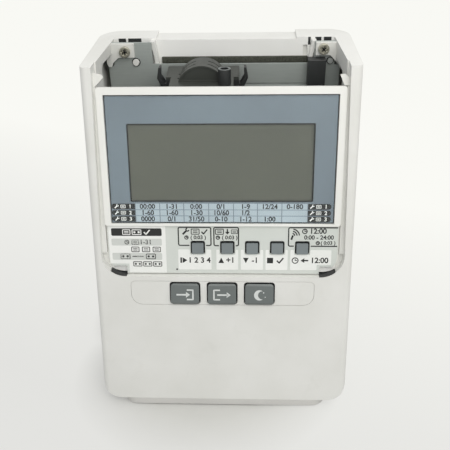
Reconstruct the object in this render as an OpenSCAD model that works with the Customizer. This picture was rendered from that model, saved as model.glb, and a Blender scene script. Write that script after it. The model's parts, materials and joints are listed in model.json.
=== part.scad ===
// Desktop card time recorder with its lid off: a leaning case with a display,
// setting keys and punch keys, and a card printer under the open top.
// Millimetres. +X is the viewer's right, +Y the back, +Z up; the origin is at
// the middle of the underside.

/* [Housing] */
// Width of the case
case_w = 158; // [152:1:174]
// Depth of the case
case_d = 119; // [116:1:134]
// Height of the back of the case above the table
case_h = 215; // [208:1:236]
// Lean of the front face from upright, in degrees
face_lean = 13; // [11:0.5:14]
// Wall of the moulded case
wall = 2.5; // [2:0.1:3]
// Thickness of the back wall round the cover
back_wall = 4; // [3.5:0.1:5]
// Radius along the lower side edges
lower_r = 12; // [8:0.5:14]
// Radius of the upright rear corners
rear_r = 14; // [8:0.5:16]
// Radius along the side edges of the face
front_r = 4; // [3.5:0.5:6]
// Fall of the top rim from back to front
rim_fall = 2.5; // [0.5:0.5:4]

/* [Base] */
// Height of the base below the case
base_h = 6; // [5.5:0.5:9]
// Diameter of a rubber foot
foot_d = 12; // [8:0.5:16]
// Height of a foot below the base plate
foot_h = 0.8; // [0.6:0.1:1.6]

/* [Top opening] */
// Width of the rim at the front of the opening
rim_w = 7; // [6:0.25:8]
// Width of the rim at the back of the opening
rim_rear_w = 10; // [8:0.5:12]
// Thickness of the rim
rim_t = 2.2; // [1.8:0.1:2.8]
// Depth of the bay behind the card mouth
rear_bay = 17; // [15:0.5:20]
// Width of the card mouth
card_w = 94; // [88:1:96]
// Sideways place of the card path
card_x = 6; // [4:0.5:8]
// Depth of the card mouth
mouth_gap = 5.3; // [4.8:0.1:6.5]
// Dip of the rear rim above the card mouth
mouth_dip = 1.7; // [0.5:0.1:2]

/* [Front recess] */
// Depth from the face to the printed sheet
recess_depth = 4.5; // [3.5:0.25:6]
// Radius of the lower corners of the recess
recess_r = 14; // [8:0.5:18]
// Width of a lid latch slot
latch_w = 10; // [6:0.5:12]

/* [Display] */
// Height of the display frame
frame_h = 82.4; // [78:0.2:90]
// Distance from the rim down to the frame, along the face
frame_drop = 11.1; // [9:0.1:14]
// Step of the frame above the printed sheet
frame_step = 1.5; // [0.5:0.1:2.5]
// Width of the frame bars at the sides
frame_bar = 4; // [3:0.25:6]
// Thickness of the clear window
window_t = 1.2; // [0.8:0.1:1.5]
// Width of the display's viewing area
view_w = 108.8; // [90:0.2:112]
// Height of the display's viewing area
view_h = 46.3; // [36:0.1:50]

/* [Key panel] */
// Height of the key panel
panel_h = 31; // [28:0.5:36]
// Side of a setting key across
set_key_w = 7.8; // [7:0.1:10]
// Side of a setting key up the face
set_key_h = 7.4; // [7:0.1:10]
// Place of the first setting key across
set_key_first = -15; // [-30:0.5:-12]
// Place of the second setting key across
set_key_second = 3.1; // [0:0.1:6]
// Spacing of the other setting keys
set_key_pitch = 15.2; // [13:0.1:16]
// Travel of a setting key
set_key_travel = 0.8; // [0.5:0.1:1]

/* [Punch keys] */
// Width of a punch key
punch_w = 18; // [16:0.5:22]
// Height of a punch key up the face
punch_h = 13.8; // [12:0.2:18]
// Spacing of the punch keys
punch_pitch = 23; // [22:0.5:28]
// Sideways place of the row of punch keys
punch_x = -0.2; // [-6:0.1:6]
// Distance of the row below the recess
punch_drop = 10.8; // [9:0.1:18]
// Travel of a punch key
punch_travel = 1.2; // [0.8:0.1:1.4]

/* [Card printer] */
// Thickness of the chassis sheet
sheet_t = 1.2; // [1:0.1:1.6]
// Sideways place of the print head at rest
head_x = -12.2; // [-16:0.1:-8]
// Diameter of the carriage guide shaft
shaft_d = 6; // [5:0.5:7]
// Diameter of the front guide rail
rail_d = 4; // [3:0.5:5]
// Diameter of a card feed roller
roller_d = 17; // [15:0.5:18]
// Width of a feed roller
roller_w = 12; // [8:0.5:16]
// Diameter of the feed shaft
feed_shaft_d = 5; // [4:0.5:6]
// Tooth module of the feed gears
gear_module = 0.8; // [0.7:0.05:0.85]
// Radius of the half-round grip on the ribbon cassette
grip_r = 15; // [13:0.5:16]
// Diameter of the ribbon knob
knob_d = 7.6; // [6:0.2:8.4]

/* [Clearances] */
// Gap round a key in its hole
key_gap = 0.55; // [0.35:0.05:0.6]
// Gap between moulded parts that drop together
part_gap = 0.2; // [0.1:0.05:0.3]
// Gap between a moving part and its seat
seat_gap = 0.3; // [0.25:0.05:0.4]
// Radial running clearance of a shaft
run_gap = 0.05; // [0.03:0.01:0.08]

/* [Hidden] */
$fn = 48;
// Overshoot of every cut
over = 1;

half_w = case_w / 2;
front_y = -case_d / 2;
back_y = case_d / 2;
rim_front_z = case_h - rim_fall;
face_len = (rim_front_z - base_h) / cos(face_lean);
rim_front_y = front_y + face_len * sin(face_lean);
rim_slope = rim_fall / (back_y - rim_front_y);
floor_z = base_h + wall;
reach = 2 * (case_h + case_d);

// Recess, panel and display, measured up the face
panel_t = 1.7;
print_t = 0.3;
ledge_t = 2;
recess_low_w = 5;
panel_depth = recess_depth + print_t;
ledge_depth = panel_depth + panel_t;
frame_depth = recess_depth - frame_step;
frame_hw = half_w - rim_w - 1;
frame_top = face_len - frame_drop;
frame_low = frame_top - frame_h;
panel_gap = 0.4;
panel_top = frame_low - panel_gap;
panel_low = panel_top - panel_h;
panel_hw = half_w - rim_w - 1.6;
sheet_in = 0.3;
recess_low = panel_low - 0.5;
ledge_hw = half_w - rim_w - 8;
ledge_low = panel_low + 5;
latch_x = half_w - 14.7;
latch_low = recess_low - 1;
latch_h = 6.5;
latch_skin = 1.2;

// Window, mask and liquid-crystal cell
window_hw = frame_hw - frame_bar;
window_low = frame_low + 1.6;
window_top = frame_top - 4.4;
window_set = 0.6;
mask_t = 0.3;
pocket_depth = frame_depth + window_set + window_t + mask_t;
view_low = window_low + 13.7;
view_mid = view_low + view_h / 2;
lcd_border = 3.1;
lcd_w = view_w + 2 * lcd_border;
lcd_h = view_h + 2 * lcd_border;
lcd_t = 2.6;
lcd_front = pocket_depth + part_gap;
board_t = 1.6;
board_depth = lcd_front + lcd_t + 7.1;
board_hw = ledge_hw - 0.5;
board_low = ledge_low + 2;
board_top = frame_top - 15;
post_r = 2.3;
post_x = lcd_w / 2 + post_r + 0.6;
post_low = frame_low + 9;
post_top = board_top - 4;

// Setting keys
set_key_v = panel_low + 17.3;
set_key_x = [set_key_first, for (i = [0:3]) set_key_second + i * set_key_pitch];
set_key_rise = 1.2;
set_lip = 0.8;
set_lip_t = 1;
set_stem_r = 1.4;
switch_h = 3.3;
set_switch_depth = board_depth - switch_h;
set_stem_l = set_switch_depth - ledge_depth - set_lip_t - set_key_travel - 2 * seat_gap;

// Punch keys
punch_v = recess_low - punch_drop;
punch_places = [for (i = [-1:1]) punch_x + i * punch_pitch];
bezel_t = 0.8;
bezel_w = 2 * punch_pitch + punch_w + 49.4;
bezel_bar = 0.55;
bezel_low = punch_v - punch_h / 2 - key_gap - bezel_bar;
bezel_top = punch_v + punch_h / 2 + key_gap + bezel_bar;
punch_lip = 1.2;
punch_lip_t = 1.2;
punch_stem_r = 2.5;
punch_stem_l = 4;
punch_switch_depth = wall + seat_gap + punch_lip_t + punch_stem_l + punch_travel + seat_gap;
punch_board_depth = punch_switch_depth + switch_h;
punch_board_w = 2 * punch_pitch + punch_w + 36;
punch_board_h = punch_h + 4;
punch_post_x = punch_board_w / 2 - 5;

// Card path and chassis
mouth_y = back_y - rear_bay;
chassis_back = mouth_y - mouth_gap;
chassis_y = chassis_back - sheet_t;
chassis_hw = half_w - 10;
card_left = card_x - card_w / 2;
card_right = card_x + card_w / 2;
lip_z = case_h - 15;
ear_z = case_h - 1.5;
ear_gap = 3.5;
bay_d = chassis_y - rim_front_y;
skirt_t = 2;
skirt_drop = 12;
skirt_deep = 14;
arch_front = rim_front_y + 20.9;
arch_top = rim_front_z - 5;
rear_skirt_z = case_h - 17;
tab_t = 2.3;
tab_top = case_h - 1.8;
guide_gap = 2.4;
guide_y = chassis_back + guide_gap;
guide_t = 2;
guide_wall = 3;
guide_top = rear_skirt_z - 0.5;
guide_low = floor_z + 11;
flange_front = chassis_y - 32;
flange_top = lip_z - 18;
flange_low = lip_z - 96;
screw_left = [-half_w + 18, case_h - 6.4];
screw_right = [half_w - 17.4, case_h - 5.5];
pin_left = [-half_w + 24.1, case_h - 13.6];
pin_right = [half_w - 12.8, case_h - 13.4];
pin_left_r = 2.1;
pin_right_r = 1.8;
pin_gap = 0.5;
pin_flange = 1;
screw_r = 1.5;
screw_head_r = 3.35;
screw_head_h = 2.2;

// Print head, carriage and cassette
nose_z = lip_z - 16;
nose_y = chassis_y - 1.1;
head_hw = 10;
head_low = nose_z - 14;
head_h = 18.5;
shaft_y = chassis_y - bay_d * 0.31;
shaft_z = nose_z - 20.5;
rail_y = chassis_y - bay_d * 0.56;
rail_z = head_low + seat_gap + rail_d / 2;
carriage_hw = 25;
carriage_low = shaft_z - shaft_d / 2 - 3.5;
cassette_low = head_low + head_h + 1;
cassette_hw = 22;
cassette_front = rim_front_y + 9.3;
cassette_back = chassis_y - 3;
cassette_front_z = case_h - 19.7;
cassette_back_z = case_h - 15.5;
cassette_slope = (cassette_back_z - cassette_front_z) / (cassette_back - cassette_front);
lid_t = 1.6;
arm_x = 14;
arm_t = 4;
ribbon_t = 0.15;
ribbon_h = 12.5;
ribbon_y = nose_y + 0.3;
grip_z = case_h - 8.5 - grip_r;
knob_x = head_x + 14;
knob_y = cassette_front + 8;
grip_front = knob_y + knob_d / 2 + 0.7;
grip_back = cassette_back - 5;
notch_y = grip_front + 7;
tab_y = (grip_front + cassette_back) / 2 - 1;
tab_hw = 3;
knob_top = case_h - 8.6;
knob_stem_r = 2;

// Belt drive
belt_z = nose_z - 34;
pulley_r = 4.7;
belt_r = pulley_r + seat_gap;
belt_t = 1.2;
belt_w = 4;
belt_y = chassis_y - 3.5;
motor_d = 20;
motor_l = 13;
motor_x = card_left - guide_wall - motor_d / 2 - 2;
idler_x = half_w - 20;
motor_shaft_r = 1;
motor_boss_r = 4;
idler_pin_r = 1.5;

// Card feed
feed_z = nose_z - 64;
roller_over = 1.2;
feed_y = chassis_back + roller_over - roller_d / 2;
roller_x = 24;
pinch_r = 4.2;
pinch_y = chassis_back + roller_over + 0.5 + pinch_r;
pinch_shaft_r = 1;
gear_teeth = 36;
pinion_teeth = 12;
gear_w = 3.5;
gear_x = chassis_hw + 0.7;
pinion_y = feed_y - gear_module * (gear_teeth + pinion_teeth) / 2;
feed_motor_l = 18;

// Lower electronics
main_board_w = 110;
main_board_low = floor_z + 10;
main_board_h = feed_z - roller_d / 2 - main_board_low - 13;
standoff_l = 4.6;
standoff_r = 3;
main_board_y = chassis_y - standoff_l - board_t;
cover_screw_r = 1.2;
cover_head_r = 2.5;
cell_r = 10;
cell_t = 3.2;
core = [50, 20, 42];
winding = [32, 34, 26];
gland_x = half_w - 34;
gland_z = floor_z + 20;
gland_r = 5;

// Back cover and base
cover_t = 2;
cover_ledge = 6;
back_open_hw = half_w - rear_r - 6;
back_open_low = floor_z + 10;
back_open_top = case_h - 23;
key_hole_x = 40;
key_hole_z = case_h - 65;
key_hole_r = 4.5;
key_slot_r = 2.2;
key_slot_l = 9;
base_hw = half_w - lower_r;
base_r = 10;
base_low = foot_h;
foot_seat = 1.5;
foot_x = base_hw - 11;
foot_y = back_y - 14;
base_screw_x = base_hw - 7;
base_screw_y = back_y - 30;
floor_hw = base_hw - 15;
transformer_x = floor_hw - core[0] / 2 - 3;
transformer_y = front_y + 41.5;

// Places children in the frame of the face: x across, y up the face, z outwards
module on_face() translate([0, front_y, base_h]) rotate([90 - face_lean, 0, 0]) children();

// A plate parallel to the face, from one depth to another
module face_plate(near, far) on_face() translate([0, 0, -far]) linear_extrude(far - near) children();

// A plate facing the front, between two depths along Y; outlines are drawn in X and Z
module front_plate(near, far)
    translate([0, far, 0]) rotate([90, 0, 0]) linear_extrude(far - near) children();

// A bar along X with its outline drawn in Y and Z
module side_bar(x0, x1) translate([x0, 0, 0]) rotate([90, 0, 90]) linear_extrude(x1 - x0) children();

// A round rod along X and one along Y
module rod_x(x0, x1, y, z, r) translate([x0, y, z]) rotate([0, 90, 0]) cylinder(h = x1 - x0, r = r);
module rod_y(y0, y1, x, z, r) translate([x, y0, z]) rotate([-90, 0, 0]) cylinder(h = y1 - y0, r = r);

// A box given by its two corners
module span_box(low, high) translate(low) cube(high - low);

// A rectangle between two corners with round corners
module round_span(x0, x1, y0, y1, r) {
    translate([x0 + r, y0]) square([x1 - x0 - 2 * r, y1 - y0]);
    translate([x0, y0 + r]) square([x1 - x0, y1 - y0 - 2 * r]);
    for (x = [x0 + r, x1 - r], y = [y0 + r, y1 - r]) translate([x, y]) circle(r);
}

// A centred band from y0 up to y1 whose two lower corners are round
module round_low(w, y0, y1, r) {
    translate([-w / 2, y0 + r]) square([w, y1 - y0 - r]);
    translate([-w / 2 + r, y0]) square([w - 2 * r, r + over]);
    for (x = [-1, 1]) translate([x * (w / 2 - r), y0 + r]) circle(r);
}

// Side view of the case, set in by the given amounts
function side_outline(face_in, floor_in, back_in, top_in) =
    let (lean_t = tan(face_lean), face_y = front_y + face_in / cos(face_lean),
         top_y = (face_y + lean_t * (rim_front_z - top_in - base_h - rim_slope * rim_front_y))
                 / (1 - lean_t * rim_slope))
    [[face_y + lean_t * floor_in, base_h + floor_in], [back_y - back_in, base_h + floor_in],
     [back_y - back_in, case_h - top_in - rim_slope * back_in],
     [top_y, rim_front_z - top_in + rim_slope * (top_y - rim_front_y)]];

// The case as a block, set in by the given amounts: its side view cut to its
// front view, its plan and the round edges of the face
module case_block(side_in = 0, floor_in = 0, back_in = 0, top_in = 0) {
    w = case_w - 2 * side_in;
    intersection() {
        side_bar(-half_w - over, half_w + over) polygon(side_outline(side_in, floor_in, back_in, top_in));
        front_plate(-reach / 2, reach / 2) round_low(w, base_h + floor_in, reach / 2, lower_r - side_in);
        linear_extrude(reach) mirror([0, 1]) round_low(w, back_in - back_y, reach / 2, rear_r - back_in);
        on_face() rotate([90, 0, 0]) linear_extrude(reach, center = true)
            mirror([0, 1]) round_low(w, side_in, reach / 2, front_r - side_in);
    }
}

// Outline of the front recess up the face, open at the top
module recess_outline(grow = 0) {
    low_hw = half_w - recess_low_w + grow;
    top_hw = half_w - rim_w + grow;
    r = recess_r + grow;
    bend = recess_low - grow + r;
    round_low(2 * low_hw, recess_low - grow, bend + over, r);
    end = face_len + 5 * over;
    polygon([[-low_hw, bend], [low_hw, bend], [top_hw, end], [-top_hw, end]]);
}

// Plan of the top opening
module opening_plan(grow = 0) {
    front_hw = half_w - rim_w + grow;
    rear_hw = half_w - rim_rear_w + grow;
    polygon([[-front_hw, rim_front_y - 5], [front_hw, rim_front_y - 5],
             [rear_hw, mouth_y + grow], [-rear_hw, mouth_y + grow]]);
}

// The two slots that take the latches of the lid, with round lower ends
module latch_slots() {
    for (x = [-latch_x, latch_x])
        translate([x, 0]) round_low(latch_w, latch_low, latch_low + latch_h, 2.5);
}

// Outline of the insert round the punch keys
module bezel_outline(grow = 0) {
    w = bezel_w + 2 * grow;
    low_r = 7 + grow;
    top_r = 3 + grow;
    translate([punch_x, 0]) intersection() {
        round_low(w, bezel_low - grow, bezel_top + reach, low_r);
        mirror([0, 1]) round_low(w, -bezel_top - grow, reach, top_r);
    }
}

// Holes for the punch keys
module punch_holes() {
    w = punch_w + 2 * key_gap;
    h = punch_h + 2 * key_gap;
    for (x = punch_places) round_span(x - w / 2, x + w / 2, punch_v - h / 2, punch_v + h / 2, 2);
}

// Holes for the setting keys
module set_holes() {
    w = set_key_w + 2 * key_gap;
    h = set_key_h + 2 * key_gap;
    for (x = set_key_x) round_span(x - w / 2, x + w / 2, set_key_v - h / 2, set_key_v + h / 2, 0.8);
}

// White tabs in the rear corners, which hold the ears of the chassis
function left_tab() = let (x = -half_w) [[x + 23.7, tab_top], [x + 6, tab_top], [x + 6, case_h - 14],
    [x + 7, case_h - 16], [x + 8.8, case_h - 16], [x + 10, case_h - 13.3], [x + 13.6, case_h - 10.2],
    [x + 23.7, case_h - 10.2]];
function right_tab() = let (x = half_w) [[x - 22, tab_top], [x - 22, case_h - 9.5],
    [x - 13.1, case_h - 9.5], [x - 9.1, case_h - 13.8], [x - 4.1, case_h - 20.7], [x - 4.1, tab_top]];

// Skirts under the sides of the top opening: deep beside the display, with an arch
// behind, lower on the right, and a shallow end at the tabs
module side_skirts() {
    arch_r = 4;
    right_drop = 4;
    tabs_y = chassis_y - tab_t - seat_gap;
    shallow_z = rim_front_z - skirt_drop;
    difference() {
        translate([0, 0, shallow_z - skirt_deep]) linear_extrude(reach) difference() {
            opening_plan(skirt_t);
            opening_plan();
        }
        for (side = [[-half_w, arch_top], [0, arch_top - right_drop]]) side_bar(side[0], side[0] + half_w) {
            round_span(arch_front, tabs_y + arch_r, 0, side[1], arch_r);
            translate([tabs_y, 0]) square([back_y, shallow_z]);
        }
    }
}

// Ribs at both ends of the card mouth, which lead the card in
module mouth_ribs() color("#F1F1EC") front_plate(chassis_back + seat_gap, mouth_y)
    for (side = [[card_left, -1], [card_right, 1]])
        polygon([for (p = [[4.5, ear_z], [1.8, ear_z], [0, lip_z + 3], [0, rear_skirt_z],
                           [2.3, rear_skirt_z], [2.3, lip_z + 3]]) [side[0] + side[1] * p[0], p[1]]]);

// Webs in the front corners of the top opening, beside the display frame
module front_webs() {
    left = -half_w + 4.5;
    right = half_w - 4.5;
    low = frame_top + seat_gap;
    face_plate(panel_depth, ledge_depth) {
        polygon([[left, frame_top - 1], [left + 3, low], [left + 8, low + 5], [left + 7, low + 6.7],
                 [left, low + 8.2]]);
        polygon([[right - 5, low], [right - 7.5, low + 5.9], [right - 5, low + 6.3], [right, low + 2.7],
                 [right, low]]);
    }
}

// Steps between the walls of the recess and the display frame
module side_steps() {
    low = recess_low + recess_r;
    inner = frame_hw + part_gap;
    face_plate(recess_depth, ledge_depth) intersection() {
        recess_outline(wall / 2);
        union() {
            translate([-half_w, low]) square([half_w - inner, frame_top - low]);
            translate([inner, low]) square([half_w - inner, frame_top - low]);
        }
    }
}

// Slots under the rear rim that take the hooks of the lid, and the slot and notch at
// the right end of the card mouth
module hook_slots() {
    low = case_h - 2.9;
    top = case_h - 1.1;
    slot_low = case_h - 5.4;
    notch_t = 1.5;
    near = mouth_y - over;
    far = mouth_y + skirt_t + over;
    for (s = [[-half_w + 13, 4.7], [-half_w + 19, 8.4], [half_w - 22, 3.8], [half_w - 16.7, 4.7]])
        span_box([s[0], near, low], [s[0] + s[1], far, top]);
    span_box([card_right - 0.4, near, slot_low], [card_right + 1.2, far, top]);
    span_box([card_right - 3.4, near, case_h - 12], [card_right - 0.6, mouth_y + notch_t, slot_low]);
}

module main_case() color("#F1F1EC") {
    difference() {
        union() {
            difference() {
                case_block();
                case_block(wall, wall, back_wall, rim_t);
            }
            intersection() {
                case_block();
                union() {
                    face_plate(0, ledge_depth + ledge_t) recess_outline(wall);
                    side_skirts();
                    span_box([-half_w + rim_rear_w, mouth_y, rear_skirt_z],
                             [half_w - rim_rear_w, mouth_y + skirt_t, case_h]);
                }
            }
            for (side = [-1, 1]) face_plate(wall - over, punch_board_depth)
                translate([punch_x + side * punch_post_x, punch_v]) circle(3);
        }
        face_plate(-over, ledge_depth) recess_outline();
        face_plate(ledge_depth - over, ledge_depth + ledge_t + over) {
            translate([-ledge_hw, ledge_low]) square([2 * ledge_hw, face_len]);
            translate([-half_w + rim_w, frame_top - 2]) square([case_w - 2 * rim_w, face_len]);
        }
        translate([0, 0, rim_front_z - rim_t - over]) linear_extrude(reach) opening_plan();
        span_box([card_left - 1.5, mouth_y, case_h - mouth_dip],
                 [card_right - 7.5, back_y + over, case_h + over]);
        hook_slots();
        face_plate(latch_skin, ledge_depth + ledge_t + over) latch_slots();
        face_plate(-over, bezel_t) bezel_outline();
        face_plate(-over, wall + over) punch_holes();
        span_box([-floor_hw, front_y + 16, base_h - over], [floor_hw, chassis_y - 10, floor_z + over]);
        front_plate(back_y - back_wall - over, back_y + over)
            round_span(-back_open_hw, back_open_hw, back_open_low, back_open_top, 4);
        front_plate(back_y - cover_t, back_y + over) cover_outline(part_gap);
        for (x = [-1, 1], z = cover_screw_z())
            rod_y(back_y - back_wall - over, back_y, x * cover_screw_x(), z, cover_screw_r);
        for (x = [-1, 1], y = [-1, 1])
            translate([x * base_screw_x, y * base_screw_y, base_h - over])
                cylinder(h = wall + 2 * over, r = screw_r);
    }
    difference() {
        union() {
            front_plate(chassis_y - tab_t, chassis_y) polygon(left_tab());
            front_plate(chassis_y - tab_t, chassis_y) polygon(right_tab());
        }
        for (s = [screw_left, screw_right])
            rod_y(chassis_y - tab_t - over, chassis_y + over, s[0], s[1], screw_r + part_gap);
    }
    front_webs();
    side_steps();
}

// Back cover, its outline and its screws
module cover_outline(grow = 0) {
    hw = back_open_hw + cover_ledge + grow;
    round_span(-hw, hw, back_open_low - cover_ledge - grow, back_open_top + cover_ledge + grow, 6);
}
function cover_screw_x() = back_open_hw + cover_ledge / 2;
function cover_screw_z() = [back_open_low + 20, back_open_top - 20];

module back_cover() color("#ECECE7") difference() {
    front_plate(back_y - cover_t, back_y) cover_outline();
    for (x = [-key_hole_x, key_hole_x]) {
        rod_y(back_y - cover_t - over, back_y + over, x, key_hole_z, key_hole_r);
        rod_y(back_y - cover_t - over, back_y + over, x, key_hole_z + key_slot_l, key_slot_r);
        span_box([x - key_slot_r, back_y - cover_t - over, key_hole_z],
                 [x + key_slot_r, back_y + over, key_hole_z + key_slot_l]);
    }
    rod_y(back_y - cover_t - over, back_y + over, gland_x, gland_z, gland_r);
    for (x = [-1, 1], z = cover_screw_z()) {
        rod_y(back_y - cover_t - over, back_y + over, x * cover_screw_x(), z, cover_screw_r + part_gap);
        rod_y(back_y - cover_t / 2, back_y + over, x * cover_screw_x(), z, cover_head_r);
    }
}

module cover_screws() color("#B9BBB8") for (x = [-1, 1], z = cover_screw_z()) {
    rod_y(back_y - back_wall, back_y - cover_t / 2, x * cover_screw_x(), z, cover_screw_r);
    rod_y(back_y - cover_t / 2, back_y - part_gap, x * cover_screw_x(), z, cover_head_r - part_gap);
}

// Base plate: a shallow tray with a solid pad in each corner for a foot and a screw
module base_plate() color("#CFCFCB") {
    rim_y = back_y - wall;
    rim_x = base_hw - wall;
    pad_x = foot_x - foot_d / 2 - wall;
    pad_y = base_screw_y - screw_head_r - wall;
    tray_h = (base_h - base_low) / 2;
    difference() {
        translate([0, 0, base_low]) linear_extrude(base_h - base_low)
            round_span(-base_hw, base_hw, front_y, back_y, base_r);
        translate([0, 0, base_low - over]) linear_extrude(over + tray_h) difference() {
            round_span(-rim_x, rim_x, -rim_y, rim_y, base_r - wall);
            for (x = [0, 1], y = [0, 1]) mirror([x, 0]) mirror([0, y])
                translate([pad_x, pad_y]) square([base_hw, back_y]);
        }
        for (x = [-1, 1], y = [-1, 1]) {
            translate([x * foot_x, y * foot_y, base_low - over])
                cylinder(h = foot_seat + over, d = foot_d + 2 * part_gap);
            translate([x * base_screw_x, y * base_screw_y, base_low - over]) {
                cylinder(h = base_h + over, r = screw_r + part_gap);
                cylinder(h = screw_head_h + over, r = screw_head_r + part_gap);
            }
        }
    }
}

module base_screws() color("#B9BBB8") for (x = [-1, 1], y = [-1, 1])
    translate([x * base_screw_x, y * base_screw_y, base_low]) {
        cylinder(h = screw_head_h, r = screw_head_r);
        cylinder(h = floor_z - base_low, r = screw_r);
    }

module rubber_feet() color("#3A3A3A") for (x = [-1, 1], y = [-1, 1])
    translate([x * foot_x, y * foot_y, 0]) cylinder(h = foot_h + foot_seat, d = foot_d);

// Rubber bush in the back cover, where the supply lead comes out
module cord_gland() color("#2B2B2B") difference() {
    union() {
        rod_y(back_y - cover_t - 2, back_y, gland_x, gland_z, gland_r - part_gap);
        rod_y(back_y - cover_t - 2, back_y - cover_t, gland_x, gland_z, gland_r + 1.2);
    }
    rod_y(back_y - cover_t - 2 - over, back_y + over, gland_x, gland_z, gland_r - 1.8);
}

// Insert round the punch keys
module key_bezel() color("#F1F1EC") face_plate(0, bezel_t) difference() {
    bezel_outline(-part_gap);
    punch_holes();
}

// A punch key: a wedge with its lower edge proud, a lip behind the wall and a stem
module punch_key(i) color("#7D8180") on_face() translate([punch_places[i], punch_v, 0]) {
    back = wall + seat_gap;
    h = punch_h / 2;
    hw = punch_w / 2;
    intersection() {
        translate([0, 0, -back]) linear_extrude(back + 3) round_span(-hw, hw, -h, h, 2);
        rotate([90, 0, 90]) linear_extrude(punch_w, center = true)
            polygon([[-h, -back], [h, -back], [h, 0.2], [h - 1.3, 0.9], [1.6 - h, 2.7], [-h, 1.5]]);
    }
    translate([0, 0, -back - punch_lip_t]) linear_extrude(punch_lip_t)
        square([punch_w + 2 * punch_lip, punch_h + 2 * punch_lip], center = true);
    translate([0, 0, -back - punch_lip_t - punch_stem_l]) cylinder(h = punch_stem_l, r = punch_stem_r);
}
module clock_in_key() punch_key(0);
module clock_out_key() punch_key(1);
module overnight_key() punch_key(2);

module punch_board() color("#3F6B4A") face_plate(punch_board_depth, punch_board_depth + board_t)
    translate([punch_x, punch_v]) square([punch_board_w, punch_board_h], center = true);

// A tact switch standing on a board, its button towards the face
module tact_switch(depth) translate([0, 0, -depth - switch_h]) {
    translate([-3, -3, 0]) cube([6, 6, switch_h - 1]);
    cylinder(h = switch_h, r = 1.6);
}

module punch_switches() color("#26282A") on_face()
    for (x = punch_places) translate([x, punch_v, 0]) tact_switch(punch_switch_depth);

// Key panel at the bottom of the recess, and the printed sheet on it
module key_panel() color("#EDEDE8") face_plate(panel_depth, ledge_depth) difference() {
    round_low(2 * panel_hw, panel_low, panel_top, recess_r - 2);
    latch_slots();
    set_holes();
}

module printed_sheet() color("#C9D0CB") face_plate(recess_depth, panel_depth) difference() {
    round_low(2 * (panel_hw - sheet_in), panel_low + sheet_in, panel_top, recess_r - 2 - sheet_in);
    latch_slots();
    set_holes();
}

// A setting key: a square cap, a lip behind the panel and a stem
module setting_key(i) color("#7D8180") on_face() translate([set_key_x[i], set_key_v, 0]) {
    back = ledge_depth + seat_gap;
    rise = recess_depth - set_key_rise;
    translate([0, 0, -back]) linear_extrude(back - rise)
        round_span(-set_key_w / 2, set_key_w / 2, -set_key_h / 2, set_key_h / 2, 0.7);
    translate([0, 0, -back - set_lip_t]) linear_extrude(set_lip_t)
        square([set_key_w + 2 * set_lip, set_key_h + 2 * set_lip], center = true);
    translate([0, 0, -back - set_lip_t - set_stem_l]) cylinder(h = set_stem_l, r = set_stem_r);
}
module menu_key() setting_key(0);
module up_key() setting_key(1);
module down_key() setting_key(2);
module set_key() setting_key(3);
module clock_key() setting_key(4);

// Display frame: a raised bezel with a pocket for the window, and posts for the board
module display_frame() color("#F4F4F0") {
    difference() {
        face_plate(frame_depth, ledge_depth) round_span(-frame_hw, frame_hw, frame_low, frame_top, 1.5);
        face_plate(frame_depth - over, pocket_depth)
            square_span(window_hw + part_gap, window_low - part_gap, window_top + part_gap);
        face_plate(frame_depth - over, ledge_depth + over)
            lcd_outline(part_gap);
    }
    for (x = [-post_x, post_x], v = [post_low, post_top])
        face_plate(ledge_depth - 0.5, board_depth) translate([x, v]) circle(post_r);
}

// A centred rectangle on the face between two heights
module square_span(hw, low, top) translate([-hw, low]) square([2 * hw, top - low]);

// Outline of the liquid-crystal cell on the face
module lcd_outline(grow = 0)
    square_span(lcd_w / 2 + grow, view_mid - lcd_h / 2 - grow, view_mid + lcd_h / 2 + grow);

module display_window() color("#AAB4BE", 0.4) {
    front = frame_depth + window_set;
    face_plate(front, front + window_t) square_span(window_hw, window_low, window_top);
}

module window_mask() color("#808A95") face_plate(pocket_depth - mask_t, pocket_depth) difference() {
    square_span(window_hw, window_low, window_top);
    square_span(view_w / 2, view_low, view_low + view_h);
}

module lcd_cell() color("#6B6B62") face_plate(lcd_front, lcd_front + lcd_t)
    lcd_outline();

// Frame behind the cell, which holds it against the control board
module lcd_holder() color("#E4E4DE") face_plate(lcd_front + lcd_t, board_depth) difference() {
    lcd_outline();
    lcd_outline(-4);
}

module control_board() color("#3F6B4A") face_plate(board_depth, board_depth + board_t)
    square_span(board_hw, board_low, board_top);

module control_switches() color("#26282A") on_face()
    for (x = set_key_x) translate([x, set_key_v, 0]) tact_switch(set_switch_depth);

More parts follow.
